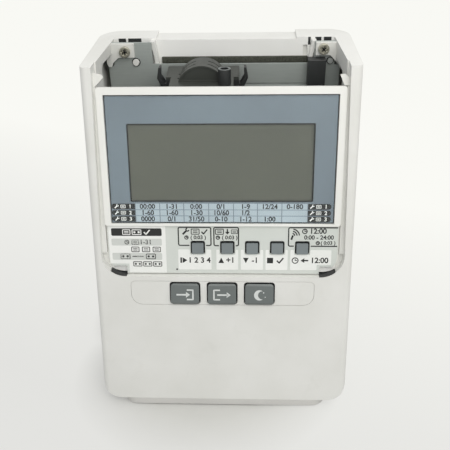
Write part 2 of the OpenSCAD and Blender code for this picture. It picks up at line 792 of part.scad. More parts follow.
// Sheet chassis: a plate with ears, a lip and a wing at each side, two flanges and a foot
module chassis() color("#7B827F") {
    hw = chassis_hw;
    bevel = lower_r / 3;
    seat = chassis_y + sheet_t / 2;
    near = chassis_y - over;
    far = chassis_back + over;
    wing = hw + 3.5;
    wing_low = flange_top - 12;
    wing_top = lip_z - 1;
    foot_l = 14;
    window_h = 6.6;
    difference() {
        union() {
            front_plate(chassis_y, chassis_back) polygon([[-hw, floor_z + bevel], [bevel - hw, floor_z],
                [hw - bevel, floor_z], [hw, floor_z + bevel], [hw, wing_low], [wing, wing_low],
                [wing, wing_top], [hw, wing_top], [hw, ear_z], [card_right + ear_gap, ear_z],
                [card_right + ear_gap, lip_z], [card_left - ear_gap, lip_z], [card_left - ear_gap, ear_z],
                [-hw, ear_z], [-hw, wing_top], [-wing, wing_top], [-wing, wing_low], [-hw, wing_low]]);
            for (x = [-hw, hw - sheet_t])
                span_box([x, flange_front, flange_low], [x + sheet_t, seat, flange_top]);
            span_box([-base_screw_x, chassis_y - foot_l, floor_z], [base_screw_x, seat, floor_z + sheet_t]);
            for (x = [-1, 1], z = [main_board_low + 5, main_board_low + main_board_h - 5])
                rod_y(chassis_y - standoff_l, chassis_y, x * (main_board_w / 2 - 5), z, standoff_r);
        }
        front_plate(near, far) {
            translate([card_left, nose_z - window_h / 2]) square([card_w, window_h]);
            for (x = [card_x - roller_x, card_x + roller_x])
                translate([x, feed_z]) square([roller_w + 2, roller_d - 2], center = true);
        }
        for (s = [screw_left, screw_right]) rod_y(near, far, s[0], s[1], screw_r);
        rod_y(near, far, pin_left[0], pin_left[1], pin_left_r + pin_gap);
        rod_y(near, far, pin_right[0], pin_right[1], pin_right_r + pin_gap);
        rod_y(near, far, motor_x, belt_z, motor_boss_r + part_gap);
        rod_y(near, far, idler_x, belt_z, idler_pin_r);
        rod_x(-hw - over, hw + over, shaft_y, shaft_z, shaft_d / 2);
        rod_x(-hw - over, hw + over, rail_y, rail_z, rail_d / 2);
        rod_x(-hw - over, hw + over, feed_y, feed_z, feed_shaft_d / 2 + run_gap);
        rod_x(hw - sheet_t - over, hw + over, pinion_y, feed_z, motor_boss_r + part_gap);
    }
}

// Cross-head screws that hold the ears to the tabs
module corner_screws() color("#B9BBB8") for (s = [screw_left, screw_right]) difference() {
    union() {
        rod_y(chassis_y - tab_t - screw_head_h, chassis_y - tab_t, s[0], s[1], screw_head_r);
        rod_y(chassis_y - tab_t, chassis_back, s[0], s[1], screw_r);
    }
    for (turn = [20, 110])
        translate([s[0], chassis_y - tab_t - screw_head_h, s[1]]) rotate([0, turn, 0])
            cube([4.2, 3.2, 1.1], center = true);
}

// Plastic pins that locate the chassis
module locating_pins() color("#DADAD5") {
    rod_y(chassis_y - 1.6, chassis_back, pin_left[0], pin_left[1], pin_left_r);
    rod_y(chassis_y - 1.6, chassis_back, pin_right[0], pin_right[1], pin_right_r);
    rod_y(chassis_back, chassis_back + 1.2, pin_left[0], pin_left[1], pin_left_r + pin_flange);
    rod_y(chassis_back, chassis_back + 1.2, pin_right[0], pin_right[1], pin_right_r + pin_flange);
}

// Card guide: rear wall of the card path with a flared top, side walls and a stop
module card_guide() color("#E4E4DF") {
    ear_x = roller_x + roller_w / 2 + 4;
    ear_hw = 1.5;
    bend_z = nose_z + 8;
    back = guide_y + guide_t;
    mid = guide_y + guide_t / 2;
    slot_hw = roller_w / 2 + 1;
    slot_h = pinch_r + 1;
    difference() {
        union() {
            side_bar(card_left - guide_wall, card_right + guide_wall)
                polygon([[guide_y, guide_low], [guide_y, bend_z], [mouth_y, guide_top],
                         [mouth_y + 1, guide_top], [back, bend_z], [back, guide_low]]);
            for (x = [card_left - guide_wall, card_right])
                side_bar(x, x + guide_wall) polygon([[chassis_back, guide_low], [chassis_back, guide_top],
                    [mouth_y, guide_top], [mid, bend_z], [mid, guide_low]]);
            span_box([card_left, chassis_back, guide_low], [card_right, mid, guide_low + 2]);
            for (x = [card_x - ear_x, card_x + ear_x])
                span_box([x - ear_hw, guide_y, feed_z - 4], [x + ear_hw, pinch_y + 3, feed_z + 4]);
        }
        for (x = [card_x - roller_x, card_x + roller_x])
            span_box([x - slot_hw, guide_y - over, feed_z - slot_h],
                     [x + slot_hw, back + over, feed_z + slot_h]);
        rod_x(card_x - ear_x - 2, card_x + ear_x + 2, pinch_y, feed_z, pinch_shaft_r + run_gap);
    }
}

module foam_strip() color("#33332D")
    span_box([card_left + 1.7, mouth_y - 2, lip_z - 1.2], [card_right - part_gap, mouth_y, lip_z + 3]);

// Rubber bar behind the card where the head strikes, bevelled top and bottom
module platen() color("#2A2A2A") side_bar(card_left + 0.5, card_right - 0.5)
    polygon([[guide_y, nose_z - 5], [guide_y, nose_z + 5], [chassis_back - 0.4, nose_z + 2.5],
             [chassis_back - 0.4, nose_z - 2.5]]);

// Card sensor block on the right of the chassis
module card_sensor() color("#1E2021") {
    flange_gap = 4.8;
    span_box([card_right - 0.8, chassis_y - 7.8, nose_z - 8],
             [chassis_hw - sheet_t - flange_gap, chassis_y, lip_z + 4]);
}

module guide_shaft() color("#B4B7B8")
    rod_x(-chassis_hw - 1, chassis_hw + 0.5, shaft_y, shaft_z, shaft_d / 2);

module guide_rail() color("#B4B7B8")
    rod_x(-chassis_hw - 1, chassis_hw + 0.5, rail_y, rail_z, rail_d / 2);

// Carriage: a block on the guide shaft, a hook over the rail, two posts under the
// cassette and a clamp round the belt
module carriage() color("#2E3032") {
    left = head_x - carriage_hw;
    right = head_x + carriage_hw;
    front = rail_y - 4;
    post_w = 4;
    clamp_hw = 6;
    hook_t = 2.2;
    hook_z = rail_z + rail_d / 2 + seat_gap;
    hook_y = rail_y + rail_d / 2 + seat_gap;
    belt_top = belt_z + belt_r + belt_t;
    difference() {
        union() {
            span_box([left, front, carriage_low], [right, shaft_y + 6, head_low]);
            side_bar(head_x - head_hw, head_x + head_hw)
                polygon([[front, hook_z], [front, hook_z + hook_t], [hook_y + hook_t, hook_z + hook_t],
                         [hook_y + hook_t, head_low - over], [hook_y, head_low - over], [hook_y, hook_z]]);
            for (x = [left, right - post_w])
                span_box([x, shaft_y - 7, head_low - over],
                         [x + post_w, shaft_y + 5, cassette_low - seat_gap]);
            span_box([head_x - clamp_hw, shaft_y, belt_z + belt_r - 2.6],
                     [head_x + clamp_hw, chassis_y - 0.7, carriage_low + 3]);
        }
        rod_x(left - over, right + over, shaft_y, shaft_z, shaft_d / 2 + run_gap);
        span_box([head_x - clamp_hw - over, belt_y - belt_w / 2 - 0.4, belt_z + belt_r - 0.4],
                 [head_x + clamp_hw + over, chassis_y, belt_top + 0.4]);
    }
}

// Dot print head with its nose towards the platen
module print_head() color("#4A4D4F") {
    back = rail_y + 7;
    front = nose_y - 5;
    top = head_low + head_h;
    bevel = 3;
    nose_hw = 6;
    side_bar(head_x - head_hw, head_x + head_hw)
        polygon([[back, head_low], [front, head_low], [front, top], [back + bevel, top],
                 [back, top - bevel]]);
    side_bar(head_x - nose_hw, head_x + nose_hw)
        polygon([[front - over, nose_z - 5], [nose_y, nose_z - 3], [nose_y, nose_z + 3],
                 [front - over, nose_z + 4.5]]);
}

// Height of the cassette's top at a depth, less a drop
function cassette_top(y, drop) = cassette_front_z + (y - cassette_front) * cassette_slope - drop;

// Plan of the cassette, with notched front corners
module cassette_plan() {
    front_hw = cassette_hw - 3;
    polygon([[-cassette_hw, cassette_back], [-cassette_hw, notch_y], [-front_hw, notch_y],
             [-front_hw, cassette_front], [front_hw, cassette_front], [front_hw, notch_y],
             [cassette_hw, notch_y], [cassette_hw, cassette_back]]);
}

// Ribbon cassette: a flat box, two arms down to the ribbon and a spring tab each side
module cassette_case() color("#2C2D2B") translate([head_x, 0, 0]) {
    difference() {
        union() {
            intersection() {
                translate([0, 0, cassette_low]) linear_extrude(cassette_back_z) cassette_plan();
                side_bar(-cassette_hw, cassette_hw)
                    polygon([[cassette_front, cassette_low], [cassette_back, cassette_low],
                             [cassette_back, cassette_top(cassette_back, lid_t)],
                             [cassette_front, cassette_top(cassette_front, lid_t)]]);
            }
            for (x = [-arm_x - arm_t / 2, arm_x - arm_t / 2])
                span_box([x, chassis_y - 10, nose_z - 7], [x + arm_t, ribbon_y, cassette_low + over]);
        }
        translate([knob_x - head_x, knob_y, cassette_low - over])
            cylinder(h = cassette_back_z, r = knob_stem_r + run_gap);
    }
    for (side = [-1, 1]) front_plate(tab_y - tab_hw, tab_y + tab_hw)
        polygon([for (p = spring_tab()) [side * p[0], p[1]]]);
}

// Outline of a spring tab: a leaf that rises from the box and doubles back to a point
function spring_tab() = let (x = cassette_hw, z = cassette_low)
    [[x - over, z + 0.5], [x + 2.6, z + 0.5], [x + 5.6, z + 7], [x + 4.4, z + 13.7], [x + 3.1, z + 13.7],
     [x + 3.4, z + 8.2], [x + 0.9, z + 4], [x - over, z + 4]];

// Lid of the cassette with its half-round grip, grooved on both sides
module cassette_lid() color("#3A3A37") translate([head_x, 0, 0]) difference() {
    union() {
        intersection() {
            translate([0, 0, cassette_low]) linear_extrude(reach) cassette_plan();
            side_bar(-cassette_hw, cassette_hw)
                polygon([for (p = [[cassette_front, lid_t], [cassette_back, lid_t], [cassette_back, 0],
                                   [cassette_front, 0]]) [p[0], cassette_top(p[0], p[1])]]);
        }
        intersection() {
            rod_y(grip_front, grip_back, 0, grip_z, grip_r);
            span_box([-grip_r, grip_front, cassette_top(grip_back, 0.5)], [grip_r, grip_back, case_h]);
        }
        intersection() {
            rod_y(grip_front, grip_back, 0, grip_z, grip_r);
            side_bar(-grip_r, grip_r) polygon([[grip_front, cassette_top(grip_front, lid_t / 2)],
                [grip_back, cassette_top(grip_back, lid_t / 2)], [grip_back, cassette_top(grip_back, -1)],
                [grip_front, cassette_top(grip_back, 0)]]);
        }
    }
    intersection() {
        rod_y(grip_front - over, grip_front + 0.8, 0, grip_z, grip_r - 1);
        span_box([-grip_r, grip_front - over, cassette_top(grip_front, -1)],
                 [grip_r, grip_front + over, case_h]);
    }
    for (y = [grip_front + 4.5, grip_front + 10.5]) intersection() {
        difference() {
            rod_y(y, y + 1.2, 0, grip_z, grip_r + over);
            rod_y(y - over, y + 1.2 + over, 0, grip_z, grip_r - 0.8);
        }
        front_plate(y - over, y + 2 * over) for (side = [-1, 1])
            polygon([[0, grip_z], [side * reach * sin(74), grip_z + reach * cos(74)],
                     [side * reach * sin(14), grip_z + reach * cos(14)]]);
    }
    translate([knob_x - head_x, knob_y, cassette_low])
        cylinder(h = cassette_back_z, r = knob_stem_r + run_gap);
}

module ink_ribbon() color("#1C1D20")
    span_box([head_x - arm_x - arm_t / 2, ribbon_y, nose_z - ribbon_h / 2],
             [head_x + arm_x + arm_t / 2, ribbon_y + ribbon_t, nose_z + ribbon_h / 2]);

// Knob that winds the ribbon by hand, with a blind hole in its top
module ribbon_knob() color("#1F2122") translate([knob_x, knob_y, 0]) {
    low = cassette_top(knob_y + knob_d / 2, 0) + seat_gap;
    difference() {
        translate([0, 0, low]) cylinder(h = knob_top - low, d = knob_d);
        translate([0, 0, knob_top - 4]) cylinder(h = 4 + over, r = knob_d / 2 - 1.5);
    }
    translate([0, 0, cassette_low + 2]) cylinder(h = low - cassette_low - 2 + over, r = knob_stem_r);
}

// A small stepping motor with a boss on its face, the axis along +Z
module step_motor(length) {
    difference() {
        union() {
            cylinder(h = length, d = motor_d);
            translate([0, 0, length]) cylinder(h = sheet_t, r = motor_boss_r);
        }
        translate([0, 0, length - 6]) cylinder(h = 6 + sheet_t + over, r = motor_shaft_r + run_gap);
    }
}

module carriage_motor() color("#8A8E90")
    translate([motor_x, chassis_back + motor_l, belt_z]) rotate([90, 0, 0]) step_motor(motor_l);

module feed_motor() color("#8A8E90")
    translate([chassis_hw - sheet_t - feed_motor_l, pinion_y, feed_z]) rotate([0, 90, 0])
        step_motor(feed_motor_l);

// Outline of a gear with straight-sided teeth; one tooth, or one gap, lies on the +X side
function gear_outline(teeth, turn) =
    let (pitch_r = gear_module * teeth / 2, half = 90 / teeth * 0.9, tip = gear_module * 0.92,
         root = gear_module * 1.25)
    [for (i = [0:teeth - 1], p = [[-1.45, -root], [-0.55, tip], [0.55, tip], [1.45, -root]])
        let (a = 360 * i / teeth + turn + half * p[0], r = pitch_r + p[1]) [r * cos(a), r * sin(a)]];

// A pulley with two flanges, the axis along Y
module pulley(x) {
    flange_t = 0.6;
    hw = belt_w / 2 + 0.3;
    rod_y(belt_y - hw, belt_y + hw, x, belt_z, pulley_r);
    for (y = [belt_y - hw - flange_t, belt_y + hw])
        rod_y(y, y + flange_t, x, belt_z, pulley_r + 1.2);
}

module motor_pulley() color("#C8CBCC") {
    pulley(motor_x);
    rod_y(belt_y, chassis_back + 5, motor_x, belt_z, motor_shaft_r);
}

module idler_pin() color("#B4B7B8") {
    front = belt_y - belt_w / 2 - 1.2;
    rod_y(front - 0.2, chassis_back, idler_x, belt_z, idler_pin_r);
    rod_y(front - 1, front, idler_x, belt_z, idler_pin_r + 1);
}

module idler_pulley() color("#C8CBCC") difference() {
    pulley(idler_x);
    rod_y(belt_y - belt_w, belt_y + belt_w, idler_x, belt_z, idler_pin_r + run_gap);
}

module timing_belt() color("#242424")
    front_plate(belt_y - belt_w / 2, belt_y + belt_w / 2) difference() {
        belt_loop(belt_r + belt_t);
        belt_loop(belt_r);
    }

// Outline of a loop round both pulleys
module belt_loop(r) {
    for (x = [motor_x, idler_x]) translate([x, belt_z]) circle(r);
    translate([motor_x, belt_z - r]) square([idler_x - motor_x, 2 * r]);
}

// Card feed: a shaft with two rubber rollers and a gear, driven by a pinion
module feed_shaft() color("#B4B7B8")
    rod_x(-chassis_hw - 1, gear_x + gear_w, feed_y, feed_z, feed_shaft_d / 2);

module feed_rollers() color("#2A2A2A") for (x = [-roller_x, roller_x]) difference() {
    rod_x(card_x + x - roller_w / 2, card_x + x + roller_w / 2, feed_y, feed_z, roller_d / 2);
    rod_x(card_x + x - roller_w, card_x + x + roller_w, feed_y, feed_z, feed_shaft_d / 2);
}

module feed_gear() color("#E6E3D8")
    side_bar(gear_x, gear_x + gear_w) translate([feed_y, feed_z]) difference() {
        polygon(gear_outline(gear_teeth, 180));
        circle(feed_shaft_d / 2);
    }

module feed_pinion() color("#C9A54A") {
    side_bar(gear_x, gear_x + gear_w)
        translate([pinion_y, feed_z]) polygon(gear_outline(pinion_teeth, 180 / pinion_teeth));
    rod_x(chassis_hw - sheet_t - 5, gear_x + over, pinion_y, feed_z, motor_shaft_r);
}

module pinch_shaft() color("#B4B7B8") {
    hw = roller_x + roller_w / 2 + 5.5;
    rod_x(card_x - hw, card_x + hw, pinch_y, feed_z, pinch_shaft_r);
}

module pinch_rollers() color("#2A2A2A") for (x = [-roller_x, roller_x]) difference() {
    rod_x(card_x + x - roller_w / 2, card_x + x + roller_w / 2, pinch_y, feed_z, pinch_r);
    rod_x(card_x + x - roller_w, card_x + x + roller_w, pinch_y, feed_z, pinch_shaft_r);
}

// Main board on the chassis, with its controller, connector and capacitors
module main_board() color("#3F6B4A") {
    chip = 18;
    chip_t = 2;
    plug = [34, 9, 8];
    can_r = 5;
    can_h = 16;
    low = main_board_low;
    mid = low + main_board_h / 2;
    top = low + main_board_h;
    y = main_board_y;
    span_box([-main_board_w / 2, y, low], [main_board_w / 2, y + board_t, top]);
    translate([-chip * 1.7, y - chip_t, mid - chip / 2]) cube([chip, chip_t, chip]);
    translate([10, y - plug[1], top - 6 - plug[2]]) cube(plug);
    for (x = [20, 34]) rod_y(y - can_h, y, x, low + 24, can_r);
}

module backup_battery() color("#C2C4C4") {
    edge = 1;
    x = edge + cell_r - main_board_w / 2;
    rod_y(main_board_y - cell_t, main_board_y, x, main_board_low + 18, cell_r);
}

// Mains transformer on the base: a core with its winding round the middle limb
module transformer() color("#6F6A62") translate([transformer_x, transformer_y, base_h]) {
    translate([-core[0] / 2, -core[1] / 2, 0]) cube(core);
    translate([-winding[0] / 2, -winding[1] / 2, (core[2] - winding[2]) / 2]) cube(winding);
}

main_case();
mouth_ribs();
back_cover();
cover_screws();
base_plate();
base_screws();
rubber_feet();
cord_gland();
key_bezel();
clock_in_key();
clock_out_key();
overnight_key();
punch_board();
punch_switches();
key_panel();
printed_sheet();
menu_key();
up_key();
down_key();
set_key();
clock_key();
display_frame();
display_window();
window_mask();
lcd_cell();
lcd_holder();
control_board();
control_switches();
chassis();
corner_screws();
locating_pins();
card_guide();
foam_strip();
platen();
card_sensor();
guide_shaft();
guide_rail();
carriage();
print_head();
cassette_case();
cassette_lid();
ink_ribbon();
ribbon_knob();
carriage_motor();
motor_pulley();
idler_pin();
idler_pulley();
timing_belt();
feed_shaft();
feed_rollers();
feed_gear();
feed_motor();
feed_pinion();
pinch_shaft();
pinch_rollers();
main_board();
backup_battery();
transformer();
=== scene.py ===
import json
import math

import bmesh
import bpy
from mathutils import Matrix, Vector


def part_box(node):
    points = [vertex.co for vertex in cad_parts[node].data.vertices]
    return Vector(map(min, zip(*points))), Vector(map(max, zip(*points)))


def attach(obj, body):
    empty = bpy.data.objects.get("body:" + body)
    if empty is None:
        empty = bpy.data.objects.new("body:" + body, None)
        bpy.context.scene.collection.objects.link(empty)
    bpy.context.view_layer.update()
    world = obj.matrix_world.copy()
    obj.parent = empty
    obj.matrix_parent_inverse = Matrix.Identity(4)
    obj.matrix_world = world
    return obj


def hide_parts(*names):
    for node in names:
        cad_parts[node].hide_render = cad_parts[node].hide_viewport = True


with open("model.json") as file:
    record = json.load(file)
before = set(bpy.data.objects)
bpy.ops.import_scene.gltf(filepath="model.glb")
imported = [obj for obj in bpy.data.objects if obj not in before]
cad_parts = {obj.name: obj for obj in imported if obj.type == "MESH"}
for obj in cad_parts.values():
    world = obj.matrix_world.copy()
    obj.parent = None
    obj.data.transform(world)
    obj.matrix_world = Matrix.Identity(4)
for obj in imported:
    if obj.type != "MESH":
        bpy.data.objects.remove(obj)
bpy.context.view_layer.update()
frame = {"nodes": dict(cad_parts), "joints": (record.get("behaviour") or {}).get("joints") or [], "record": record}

# Viewpoint: a normal lens in front of the recorder and above it, a little to the right,
# looking down at the leaning face and into the open top.
eye = Vector((0.017134, -0.348966, 0.315582))
yaw, pitch, roll = (math.radians(a) for a in (2.738, 31.262, -1.2326))
ahead = Vector((-math.sin(yaw) * math.cos(pitch), math.cos(yaw) * math.cos(pitch), -math.sin(pitch)))
level = Vector((math.cos(yaw), math.sin(yaw), 0))
rising = level.cross(ahead)
right = level * math.cos(roll) + rising * math.sin(roll)
above = rising * math.cos(roll) - level * math.sin(roll)
lens = bpy.data.cameras.new("viewpoint")
lens.sensor_width = 36
lens.lens = 49.70
lens.clip_start = 0.01
viewpoint = bpy.data.objects.new("viewpoint", lens)
bpy.context.scene.collection.objects.link(viewpoint)
viewpoint.matrix_world = Matrix.Translation(eye) @ Matrix((right, above, -ahead)).transposed().to_4x4()
bpy.context.scene.camera = viewpoint

# Housing: one tall shell with a leaning face, injection moulded in white ABS. The mould leaves
# a fine satin texture and small radii on every edge, and handling leaves faint grey smudges.
node_body = {n: b for b, nodes in frame["record"]["behaviour"]["bodies"].items() for n in nodes}


def linear(code):
    """The linear colour of an sRGB hex value."""
    parts = [int(code[i:i + 2], 16) / 255 for i in (1, 3, 5)]
    return [p / 12.92 if p <= 0.04045 else ((p + 0.055) / 1.055) ** 2.4 for p in parts] + [1]


def feed(tree, node, inputs):
    """Fills inputs of a shader node; each is a value, or the socket that is linked to it."""
    for name, value in inputs.items():
        if isinstance(value, bpy.types.NodeSocket):
            tree.links.new(value, node.inputs[name])
        else:
            node.inputs[name].default_value = value


def add(tree, kind, inputs, **settings):
    """Adds a shader node with its settings and inputs."""
    made = tree.nodes.new("ShaderNode" + kind)
    for name, value in settings.items():
        setattr(made, name, value)
    feed(tree, made, inputs)
    return made


def blank(name):
    """A new material, with its node tree, its shader and the place on the part in metres."""
    made = bpy.data.materials.new(name)
    made.use_nodes = True
    tree = made.node_tree
    return made, tree, tree.nodes["Principled BSDF"], add(tree, "TexCoord", {}).outputs["Object"]


def noise(tree, place, size_mm, detail, distortion=0):
    """A cloudy pattern with patches of a real size."""
    return add(tree, "TexNoise", {"Vector": place, "Scale": 1000 / size_mm, "Detail": detail,
                                  "Distortion": distortion}).outputs["Fac"]


def ramp(tree, value, start, end, low=0, high=1):
    """Brings a value between start and end to the range from low to high."""
    return add(tree, "MapRange", {"Value": value, "From Min": start, "From Max": end,
                                  "To Min": low, "To Max": high}).outputs[0]


def blend(tree, share, none, full):
    """Mixes two colours by a share, each a hex value or a socket."""
    none, full = (linear(c) if isinstance(c, str) else c for c in (none, full))
    return add(tree, "Mix", {"Factor": share, 6: none, 7: full}, data_type="RGBA").outputs[2]


def bump(tree, height, strength, depth_mm):
    """The relief of a pattern with a real depth."""
    return add(tree, "Bump", {"Height": height, "Strength": strength,
                              "Distance": depth_mm / 1000}).outputs[0]


def moulded(name, pale, dull, rough, grain_mm, relief, smudge=None):
    """Moulded plastic: a slightly clouded colour with the grain of the mould in gloss and relief."""
    made, tree, shader, place = blank(name)
    cloud = noise(tree, place, size_mm=40, detail=4)
    tint = blend(tree, ramp(tree, cloud, 0.35, 0.65), dull, pale)
    if smudge:
        marks = noise(tree, place, size_mm=12, detail=6, distortion=0.8)
        tint = blend(tree, ramp(tree, marks, 0.58, 0.8, high=0.3), tint, smudge)
    grain = noise(tree, place, grain_mm, detail=3)
    feed(tree, shader, {"Base Color": tint, "IOR": 1.53,
                        "Roughness": ramp(tree, grain, 0.3, 0.7, rough - 0.06, rough + 0.06),
                        "Normal": bump(tree, grain, relief, grain_mm / 4)})
    return made


def cleaned(node):
    """The shape of a CAD node without doubled points and without seams in its flat faces."""
    shape = bmesh.new()
    shape.from_mesh(frame["nodes"][node].data)
    bmesh.ops.remove_doubles(shape, verts=shape.verts, dist=2e-6)
    bmesh.ops.dissolve_limit(shape, angle_limit=math.radians(0.5), verts=shape.verts, edges=shape.edges)
    return shape


def solid(name, shape, *finishes):
    """Turns a shape into an object with its finishes."""
    mesh = bpy.data.meshes.new(name)
    shape.to_mesh(mesh)
    shape.free()
    for finish in finishes:
        mesh.materials.append(finish)
    made = bpy.data.objects.new(name, mesh)
    bpy.context.scene.collection.objects.link(made)
    return made


def stand_in(made, node):
    """Puts an object in the place of a CAD node, where it rides like the node."""
    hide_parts(node)
    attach(made, node_body[node])


def dressed(node, finish, round_mm, reshape=None, inner=None):
    """Puts a copy with small radii on its edges in the place of a CAD node."""
    shape = cleaned(node)
    if reshape:
        reshape(shape)
    sharp = [e for e in shape.edges if e.is_manifold and e.calc_face_angle() > math.radians(35)]
    bmesh.ops.bevel(shape, geom=sharp, offset=round_mm / 1000, affect="EDGES", segments=2, profile=0.5,
                    material=-1, clamp_overlap=True)
    finishes = [finish, inner] if inner else [finish]
    made = solid(node + "_skin", shape, *finishes)
    made.data.shade_smooth()
    made.data.set_sharp_from_angle(angle=math.radians(40))
    made.modifiers.new("even_normals", "WEIGHTED_NORMAL").keep_sharp = True
    stand_in(made, node)


# White ABS, spark-eroded mould: a soft sheen broken up by the grain, a little warm.
white_abs = moulded("white_abs_moulded", "#E6E6E2", "#DFDFDA", rough=0.46, grain_mm=0.7, relief=0.06,
                    smudge="#D6D6D0")
# Painted light: a paler white for the wall behind the card mouth and for the latch floors, which lie in the shade
# inside the housing.
abs_painted_light = moulded("white_abs_painted_light", "#F8F8F5", "#F3F3EF", rough=0.46, grain_mm=0.7, relief=0.06)
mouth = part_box("mouth_ribs")[1]
mouth_wall_height, mouth_wall_play = 0.03, 0.001


def clean_inside(shape):
    """Gives the wall behind the card mouth the paler white of painted light."""
    for f in shape.faces:
        spot = f.calc_center_median()
        in_wall = abs(spot.y - mouth.y) < mouth_wall_play and spot.z > mouth.z - mouth_wall_height
        f.material_index = int(in_wall and f.normal.y < -0.9)


dressed("main_case", white_abs, round_mm=0.5, reshape=clean_inside, inner=abs_painted_light)
dressed("mouth_ribs", white_abs, round_mm=0.2)

# Back of the housing: a screwed-on cover of the same white ABS with two keyholes for a wall,
# its four plated screws, and a rubber bush where the supply lead comes out.
dressed("back_cover", white_abs, round_mm=0.3)


def metal(name, bright, dull, rough, line_mm, along, metallic=1, relief=0.05):
    """Metal: fine lines from rolling, turning or grinding along an axis, and a clouded gloss."""
    made, tree, shader, place = blank(name)
    stretch = [0.08 if axis == along else 1 for axis in "XYZ"]
    drawn = add(tree, "Mapping", {"Vector": place, "Scale": stretch}).outputs[0]
    lines = noise(tree, drawn, line_mm, detail=3)
    cloud = noise(tree, place, size_mm=15, detail=4)
    streaks = add(tree, "Math", {0: lines, 1: cloud}, operation="ADD").outputs[0]
    feed(tree, shader, {"Base Color": blend(tree, ramp(tree, streaks, 0.7, 1.3), dull, bright),
                        "Roughness": ramp(tree, cloud, 0.3, 0.7, rough + 0.07, rough - 0.07),
                        "Normal": bump(tree, lines, relief, line_mm / 4), "Metallic": metallic})
    return made


# Steel screws, nickel plated: bright and nearly neutral.
plated_steel = metal("nickel_plated_steel", "#DDDCD6", "#CFCEC8", rough=0.3, line_mm=0.4, along="Y",
                     relief=0.02)
dressed("cover_screws", plated_steel, round_mm=0.15)

# Black rubber: matt, with the dusty bloom that moulded rubber takes on.
black_rubber = moulded("black_rubber_moulded", "#3A3A38", "#2B2B2A", rough=0.82, grain_mm=0.9, relief=0.3)
dressed("cord_gland", black_rubber, round_mm=0.3)

# Base: a shallow tray in grey ABS under the housing, set in at both sides, held by four
# screws, with four rubber feet pressed into its corners.
# Grey ABS: a coarser mould than the housing's, and duller.
grey_abs = moulded("grey_abs_moulded", "#D9D8D4", "#D0CFCB", rough=0.52, grain_mm=0.8, relief=0.08)
dressed("base_plate", grey_abs, round_mm=0.5)
dressed("base_screws", plated_steel, round_mm=0.15)
dressed("rubber_feet", black_rubber, round_mm=0.8)

# Punch keys: a flush white insert in the face holds three wedge-shaped grey keys, whose lower
# edge is proud for the thumb. Each carries a light pictogram, and presses a switch on a board.
dressed("key_bezel", white_abs, round_mm=0.3)
# Grey ABS, polished by fingers: smoother than the housing.
key_abs = moulded("grey_key_abs", "#656B6A", "#5E6463", rough=0.4, grain_mm=0.6, relief=0.06)
# Black nylon: switches and small mouldings, dull with a faint mould texture. The same black is also painted shade:
# in the latch wells, inside the hook slots and on the sides of the keys in their holes.
black_nylon_and_painted_shade = moulded("black_nylon_and_painted_shade", "#2A2C2D", "#1F2122", rough=0.48, grain_mm=0.5, relief=0.1)
punch_keys = ("clock_in_key", "clock_out_key", "overnight_key")

outward = -Vector(next(j for j in frame["joints"] if j["name"] == "clock_in_press")["axis"])
upward = Vector((0, outward.z, -outward.y))
foot_of_face = Vector((0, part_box("main_case")[0].y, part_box("main_case")[0].z))
# From mm across, up and out of the face to the frame
face = Matrix((Vector((1, 0, 0)), upward, outward)).transposed().to_4x4()
face = Matrix.Translation(foot_of_face) @ face @ Matrix.Scale(0.001, 4)


def lifted(seat, height):
    """A seat moved out by a height in mm."""
    return seat @ Matrix.Translation((0, 0, height))


def on_face(node):
    """The two corners of a CAD node's box across, up and out of the face, in mm."""
    places = [face.inverted() @ v.co for v in frame["nodes"][node].data.vertices]
    return [Vector(pick(p[i] for p in places) for i in range(3)) for pick in (min, max)]


def middle(node):
    """The middle of a CAD node across, up and out of the face, in mm."""
    low, high = on_face(node)
    return (low + high) / 2


def key_cap(node, finish, surface, play):
    """Dresses a key: clear of its hole but for the lower edge, and painted black below a surface, as the shade in
    the gap round it.
    """
    low, high = on_face(node)
    play_above = 0.83 * play
    tight = Vector((1 - play / (high.x - low.x), 1 - play_above / (high.y - low.y), 1))
    foot = Vector(((low.x + high.x) / 2, low.y, 0))

    def slim(shape):
        for v in shape.verts:
            v.co = face @ (foot + (face.inverted() @ v.co - foot) * tight)
        bmesh.ops.bisect_plane(shape, geom=shape.verts[:] + shape.edges[:] + shape.faces[:],
                               plane_co=face @ Vector((0, 0, surface)), plane_no=outward)
        # The faces below the surface get the black: painted shade in the gap round the key.
        for f in shape.faces:
            f.material_index = int((face.inverted() @ f.calc_center_median()).z < surface)

    dressed(node, finish, round_mm=0.5, reshape=slim, inner=black_nylon_and_painted_shade)


for name in punch_keys:
    key_cap(name, key_abs, surface=0, play=0.6)


def join(drawing, part):
    """Adds a flat part to a drawing."""
    mesh = bpy.data.meshes.new("part")
    part.to_mesh(mesh)
    part.free()
    drawing.from_mesh(mesh)
    bpy.data.meshes.remove(mesh)


def rounded(points, round_mm):
    """A filled flat part from its corners in mm, all rounded alike."""
    part = bmesh.new()
    filled = part.faces.new([part.verts.new((x, y, 0)) for x, y in points])
    if round_mm:
        bmesh.ops.bevel(part, geom=list(filled.verts), offset=round_mm, affect="VERTICES", segments=4,
                        profile=0.5, material=-1, clamp_overlap=True)
    return part


def patch(drawing, points, round_mm=0):
    """Draws a filled patch from its corners."""
    join(drawing, rounded(points, round_mm))


def span(x0, x1, y0, y1):
    """The corners of a rectangle."""
    return (x0, y0), (x1, y0), (x1, y1), (x0, y1)


def bend(centre, radius, angles):
    """Points on an arc about a centre, its angles in degrees."""
    x, y = centre
    return [(x + radius * math.cos(a), y + radius * math.sin(a)) for a in map(math.radians, angles)]


def stroke(drawing, start, end, width):
    """Draws a straight stroke between two points."""
    start, end = Vector(start), Vector(end)
    side = (end - start).normalized().orthogonal() * width / 2
    patch(drawing, (start - side, end - side, end + side, start + side))


